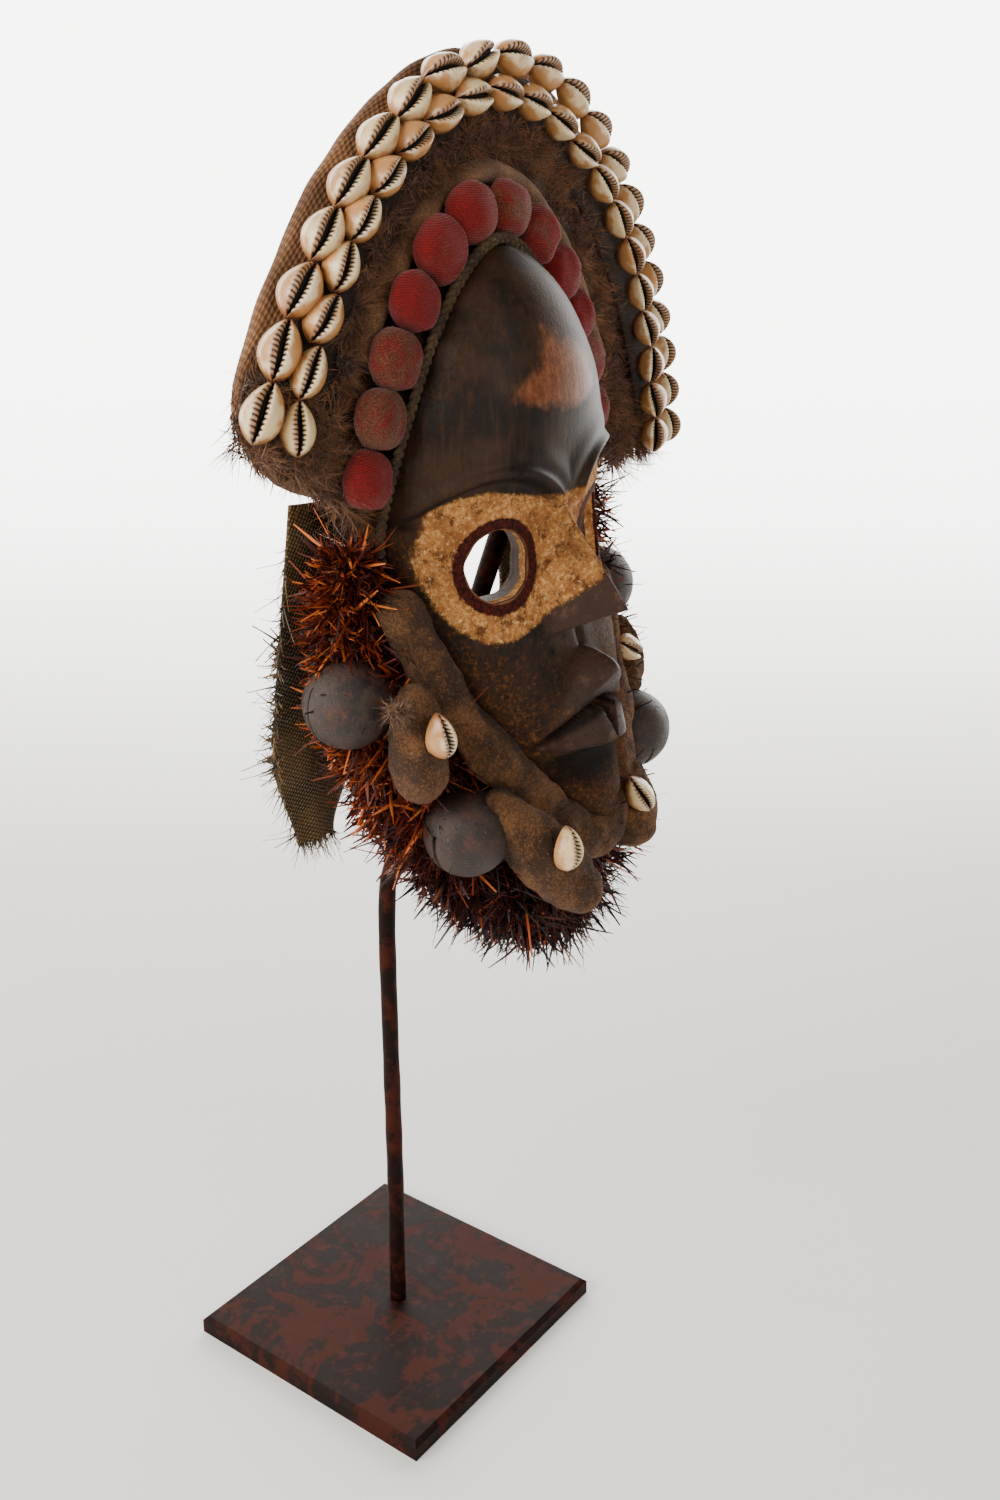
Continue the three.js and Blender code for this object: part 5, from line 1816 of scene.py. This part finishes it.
# %% Directions in the beard
def strip_ways(angle, share, layer, roots, seed, loose):
    """Outward along the bundle, with a tangle that neighbours share and a stray of their own."""
    chance = np.random.default_rng(seed)
    ahead = beard_point(angle, share + 0.08, layer) - beard_point(angle, share, layer)
    tangle = clumped(roots, 10, seed + 1, (1, 0.7, 1), (0, 0, 0))
    flat = ease(2.75, 2.1, angle)[:, None]
    stray = chance.normal(size=roots.shape)
    ways = 0.75 * unit(ahead) + 0.95 * tangle + loose * stray
    ways = mix(ways, np.array([-0.5, 0.25, -0.4]) + 0.6 * tangle + 0.75 * stray, flat)
    return unit(ways + np.array([0, -0.15, -0.08]))


jaw_angles = np.linspace(1.5, 2 * np.pi - 1.5, 2000)
jaw_run = distance_run(np.stack(outline(jaw_angles, 25), -1))
print("the beard is", jaw_run[-1].round(), "mm long, measured along the jaw")

# %% [markdown]
# ### Strips of leaf
#
# The strips are flat and stiff, with a kink, and blunt where they broke off. Their roots are spread by
# distance along the jaw, because equal angles would crowd them at the temples. On the near upper side more
# strips are orange, a painted highlight; towards the far tip more are golden; the rest is nearly black.

# %% Fibres
def beard_fibres(name, total, seed, layer, wide, loose):
    chance = np.random.default_rng(seed)
    angle = np.interp(chance.uniform(0, jaw_run[-1], total), jaw_run, jaw_angles)
    share = chance.uniform(0.0, 0.92, total) ** 0.75
    depth = np.full(total, layer)
    # Beside the temple the bundle also lies over the roll's end
    over = 1.6 * ease(2.02, 1.75, angle) * chance.uniform(0, 1, total) * ease(0.6, 0.2, share) * (layer < 0.5)
    roots = beard_point(angle, share, depth - over + chance.uniform(-0.1, 0.25, total))
    ways = strip_ways(angle, share, depth, roots, seed + 10, loose)
    room = (1.0 - share) * along(BEARD_REACH, np.clip(beard_low(angle), 0, 1))
    near = ease(3.3, 2.6, angle)
    spare = chance.uniform(1, 8, total) + near * chance.uniform(0, 8, total)
    length = np.minimum(chance.uniform(7, 22, total), room + spare)
    golden = 0.9 * ease(3.5, 4.0, angle) * ease(5.0, 4.6, angle) * ease(0.1, 0.5, share)
    # The near upper side's orange is a painted highlight; towards the far tip the strips are golden
    painted_highlight_and_golden = 0.3 * ease(2.6, 1.9, angle) + golden
    tint = 0.12 + 0.75 * painted_highlight_and_golden * chance.uniform(0, 1, total) ** 1.5 + 0.66 * chance.uniform(0, 1, total) ** 5
    widths = chance.uniform(0.5, 1.15, total) * wide
    tints = np.clip(tint, 0, 1)
    return hair_mesh(name, roots, ways, length, widths, seed + 5, droop=0.75, tints=tints, taper=9.0,
                     blunt=0.45)


def fibre_finish():
    f = Finish("dyed_fibre")
    tint = f.stored("tint")
    colour = f.blend(f.ramp(tint, 0.08, 0.32), (0.007, 0.003, 0.0025), (0.04, 0.009, 0.005))
    colour = f.blend(f.ramp(tint, 0.34, 0.66), colour, (0.16, 0.036, 0.011))
    colour = f.blend(f.ramp(tint, 0.62, 1.0), colour, (0.5, 0.18, 0.05))
    return f.done(colour, 0.5, Specular_IOR_Level=0.3)


straw = fibre_finish()
BEARD_LAYERS = [(10000, 0.0, 1.05, 0.6), (9000, -0.05, 1.3, 1.1), (8000, 0.9, 1.2, 0.8)]
for part, (total, layer, wide, loose) in enumerate(BEARD_LAYERS):
    total = total
    fibres = beard_fibres(f"beard_fibres_{part + 1}", total, 600 + 20 * part, layer, wide, loose)
    add_piece(f"beard_fibres_{part + 1}", fibres, straw)

# %% [markdown]
# ## Cloth behind the temples
#
# Two strips of dark twill hang from under the crest. They are sheets, so each is a thin folded surface with
# an even thickness; the weave's diagonal ridges and the ragged threads along the outer edge come on top.

# %% Twill
FLAP_TOP, FLAP_HEM = 462, 318


def flap_point(side, across, down, back):
    """A point on the hanging cloth, by shares of its width, its height and its thickness."""
    outer = mix(84, 99, np.sin(down * 2.2)) - 9 * ease(0.72, 1, down)
    inner = 45 + 8 * ease(0.1, 0.4, down) + 12 * ease(0.8, 1, down)
    bow = 3 * np.sin(across * np.pi) + 2 * np.sin(down * 5)
    x = side * mix(inner, outer, across)
    fold = 0.5 * np.sin(across * 14 + down * 3) * (0.3 + down)
    return np.stack([x, -31 - bow + back * 3.6 + fold, mix(FLAP_TOP, FLAP_HEM, down) + 0 * across], -1)


def twill_finish():
    f = Finish("dark_twill")
    run, down = f.weave_map()
    line = ((run * PER_METRE + down * 650) * 4.0).sine()
    thread = ((down * PER_METRE - run * 500) * 3.6).sine()
    cloud, fine = f.noise(26, detail=5), f.noise(0.8, detail=4, rough=0.75)
    cloth = f.blend(f.ramp(cloud, 0.35, 0.6), (0.012, 0.012, 0.009), (0.04, 0.028, 0.015))
    cloth = f.blend(f.ramp(f.noise(17, detail=4), 0.52, 0.66) * 0.6, cloth, (0.012, 0.026, 0.03))
    raised = f.ramp(line * 0.55 + thread * 0.4 + (fine - 0.5) * 1.4, -0.1, 0.9)
    cloth = f.blend(raised * 0.75, cloth, (0.23, 0.155, 0.08))
    cloth = f.blend(f.ramp(fine, 0.55, 0.72) * 0.5, cloth, (0.01, 0.008, 0.006))
    height = line * 0.4 + thread * 0.2 + fine * 0.4
    return f.done(cloth, 0.95, f.bump(height, 0.4, 0.9), Specular_IOR_Level=0.25)


def flap_mesh(name, side):
    rows, columns = 90, 32
    down, across = np.linspace(0, 1, rows)[:, None], np.linspace(0, 1, columns)[None]
    front = flap_point(side, across, down, 0.30)
    rear = flap_point(side, across, down, 0.70)[:, ::-1]
    loop = np.concatenate([front, rear], 1)
    mesh = closed_mesh(name, loop)
    add_weave_map(mesh, np.abs(loop[..., 0]), loop[..., 2])
    return mesh


twill = twill_finish()
print("the cloth hangs", FLAP_TOP - FLAP_HEM, "mm down")

# %% [markdown]
# ### Fringe
#
# The cloth's outer edge and its hem have come undone into threads. Half-way down the near edge they are
# long, thick and knotted. Roots lie on the cloth's own formula, so the fringe can't come off it.

# %% Fringe and both cloths
def flap_fringe(name, side, seed):
    chance = np.random.default_rng(seed)
    edge, hem = 260, 150
    down = chance.uniform(0.1, 0.98, edge)
    roots = flap_point(side, np.full(edge, 0.985), down, np.full(edge, 0.5))
    ways = np.stack([side * chance.uniform(0.4, 1, edge), chance.uniform(-0.5, 0.2, edge),
                     chance.uniform(-1, -0.1, edge)], -1)
    low = flap_point(side, chance.uniform(0, 1, hem), np.full(hem, 0.995), np.full(hem, 0.5))
    low_ways = np.stack([chance.normal(size=hem) * 0.4, chance.uniform(-0.4, 0.1, hem), -np.ones(hem)], -1)
    roots, ways = np.concatenate([roots, low]), unit(np.concatenate([ways, low_ways]))
    total = len(roots)
    lengths = chance.uniform(3, 10, total)
    widths = chance.uniform(0.35, 0.9, total)
    if side < 0:
        knots = 130
        at = flap_point(side, np.full(knots, 0.98), chance.uniform(0.36, 0.74, knots), np.full(knots, 0.5))
        out = [-np.ones(knots), 0.5 * chance.normal(size=knots), 0.7 * chance.normal(size=knots)]
        roots, ways = np.concatenate([roots, at]), np.concatenate([ways, unit(np.stack(out, -1))])
        lengths = np.concatenate([lengths, chance.uniform(4, 9, knots)])
        widths = np.concatenate([widths, chance.uniform(0.9, 1.6, knots)])
    return hair_mesh(name, roots, ways, lengths, widths, seed, steps=7, droop=1.1, blunt=0.4)


thread_look = hair_finish("frayed_thread", (0.007, 0.011, 0.01), (0.02, 0.024, 0.018), (0.2, 0.13, 0.055))
for side, label in ((-1, "right"), (1, "left")):
    flap = add_piece(f"temple_cloth_{label}", flap_mesh(f"temple_cloth_{label}", side), twill,
                     [f"back_cloth_{label}"])
    fringe = add_piece(f"temple_fringe_{label}", flap_fringe(f"temple_fringe_{label}", side, 700 + side),
                       thread_look)

# %% [markdown]
# ## Loose ends
#
# Old sewing leaves ends behind: a tassel and two stray threads under the far end of the crest, a tuft of
# wool where the upper lobe is tied, threads that have come out of the hanging cloth. They are single
# ribbons, like the pile.

# %% Stray threads and tufts
STRAYS = [[[120, -50, 441], [37, 0, -14], 38], [[119, -50, 441], [-17, 0, -15], 22],
          [[119, -49, 441], [-6, -4, -15], 18], [[-91, -33, 422], [-14, -2, -26], 30],
          [[-93, -33, 414], [-15, 2, -8], 17]]


def nearest(cloth, place):
    return cloth[np.argmin(np.linalg.norm(cloth - np.array(place), axis=1))]


def stray_threads(seed):
    """Each thread starts from the cloth that is nearest to its place."""
    places, ways, lengths = zip(*STRAYS)
    cloth = np.concatenate([crest_points, points_of(bpy.data.objects["temple_cloth_right"].data)])
    roots = np.array([nearest(cloth, place) for place in places])
    return hair_mesh("stray_threads", roots, unit(np.array(ways, float)), np.array(lengths, float),
                     np.full(len(roots), 0.75), seed, steps=14, droop=0.25, blunt=0.6)


def tuft(name, middle, wide, way, long, total, seed):
    """A bunch of hairs that spread from one small spot."""
    chance = np.random.default_rng(seed)
    roots = np.array(middle, float) + chance.normal(size=(total, 3)) * wide * 0.4
    ways = unit(np.array(way, float) + 0.9 * chance.normal(size=(total, 3)))
    lengths, widths = hair_sizes(chance, total, long, (0.3, 0.6))
    return hair_mesh(name, roots, ways, lengths, widths, seed, 6, 1.6)


add_piece("stray_threads", stray_threads(81), thread_look)
wool_look = hair_finish("loose_wool", (0.012, 0.006, 0.0035), (0.06, 0.03, 0.015), (0.17, 0.095, 0.047))
tassel_top = nearest(crest_points, [120, -49, 442])
tassel = tuft("crest_tassel", tassel_top, 3.0, (0.1, 0, -1), (5, 12), 240, 82)
add_piece("crest_tassel", tassel, pile_look)
lobe_tuft = tuft("lobe_tuft", (-89.5, -87, 390), 4.6, (-0.4, -0.3, -0.9), (2, 4.5), 420, 83)
add_piece("lobe_tuft", lobe_tuft, wool_look)

# %% [markdown]
# ## Floor and wall
#
# A pale floor bends up into a bright wall far behind, as in a studio. It is only the stage, not part of the
# object. The whole sheet glows: faintly round the stand, more the further behind it, and most high on the
# wall, which gives the dark wood its bright edge.

# %% Sweep
FLAT, BEND, TALL, SIDE, COLUMNS = 2200, 1400, 3600, 6000, 7


def sweep_sheet():
    """A strip that runs flat under the stand and curves up behind it, as seen from the camera."""
    ahead, across, up = np.array([[0.803, 0.596, 0], [-0.596, 0.803, 0], [0, 0, 1.0]])
    bend = np.linspace(0, np.pi / 2, 24)
    run = np.concatenate([np.linspace(-7000, FLAT, 24), FLAT + BEND * np.sin(bend)[1:], [TALL, TALL]])
    rise = np.concatenate([np.zeros(24), BEND * (1 - np.cos(bend))[1:], [FLAT, TALL]])
    side = np.linspace(-SIDE, SIDE, COLUMNS)
    points = run[:, None, None] * ahead + side[None, :, None] * across + rise[:, None, None] * up
    mesh = new_mesh("sweep", points.reshape(-1, 3), grid_faces(len(run), COLUMNS))
    mesh.polygons.foreach_set("use_smooth", [True] * len(mesh.polygons))
    glow = mix(0.04, 1.0, 0.25 * ease(250, 1500, run) + 0.75 * ease(600, 3700, run + rise))
    store(mesh, "glow", np.repeat(glow, COLUMNS))
    return mesh


f = Finish("glowing_pale_paper")
tone = f.blend(f.noise(160, detail=3), (0.64, 0.63, 0.61), (0.68, 0.67, 0.65))
glow = f.blend(f.stored("glow"), (0.0, 0.0, 0.0), (1.0, 0.99, 0.97))
sweep_mesh = sweep_sheet()
sweep_mesh.materials.append(f.done(tone, 0.8, Emission_Color=glow, Emission_Strength=6.0))
sweep = put_in_scene("sweep", sweep_mesh)
print("the sweep has", len(sweep_mesh.polygons), "faces")
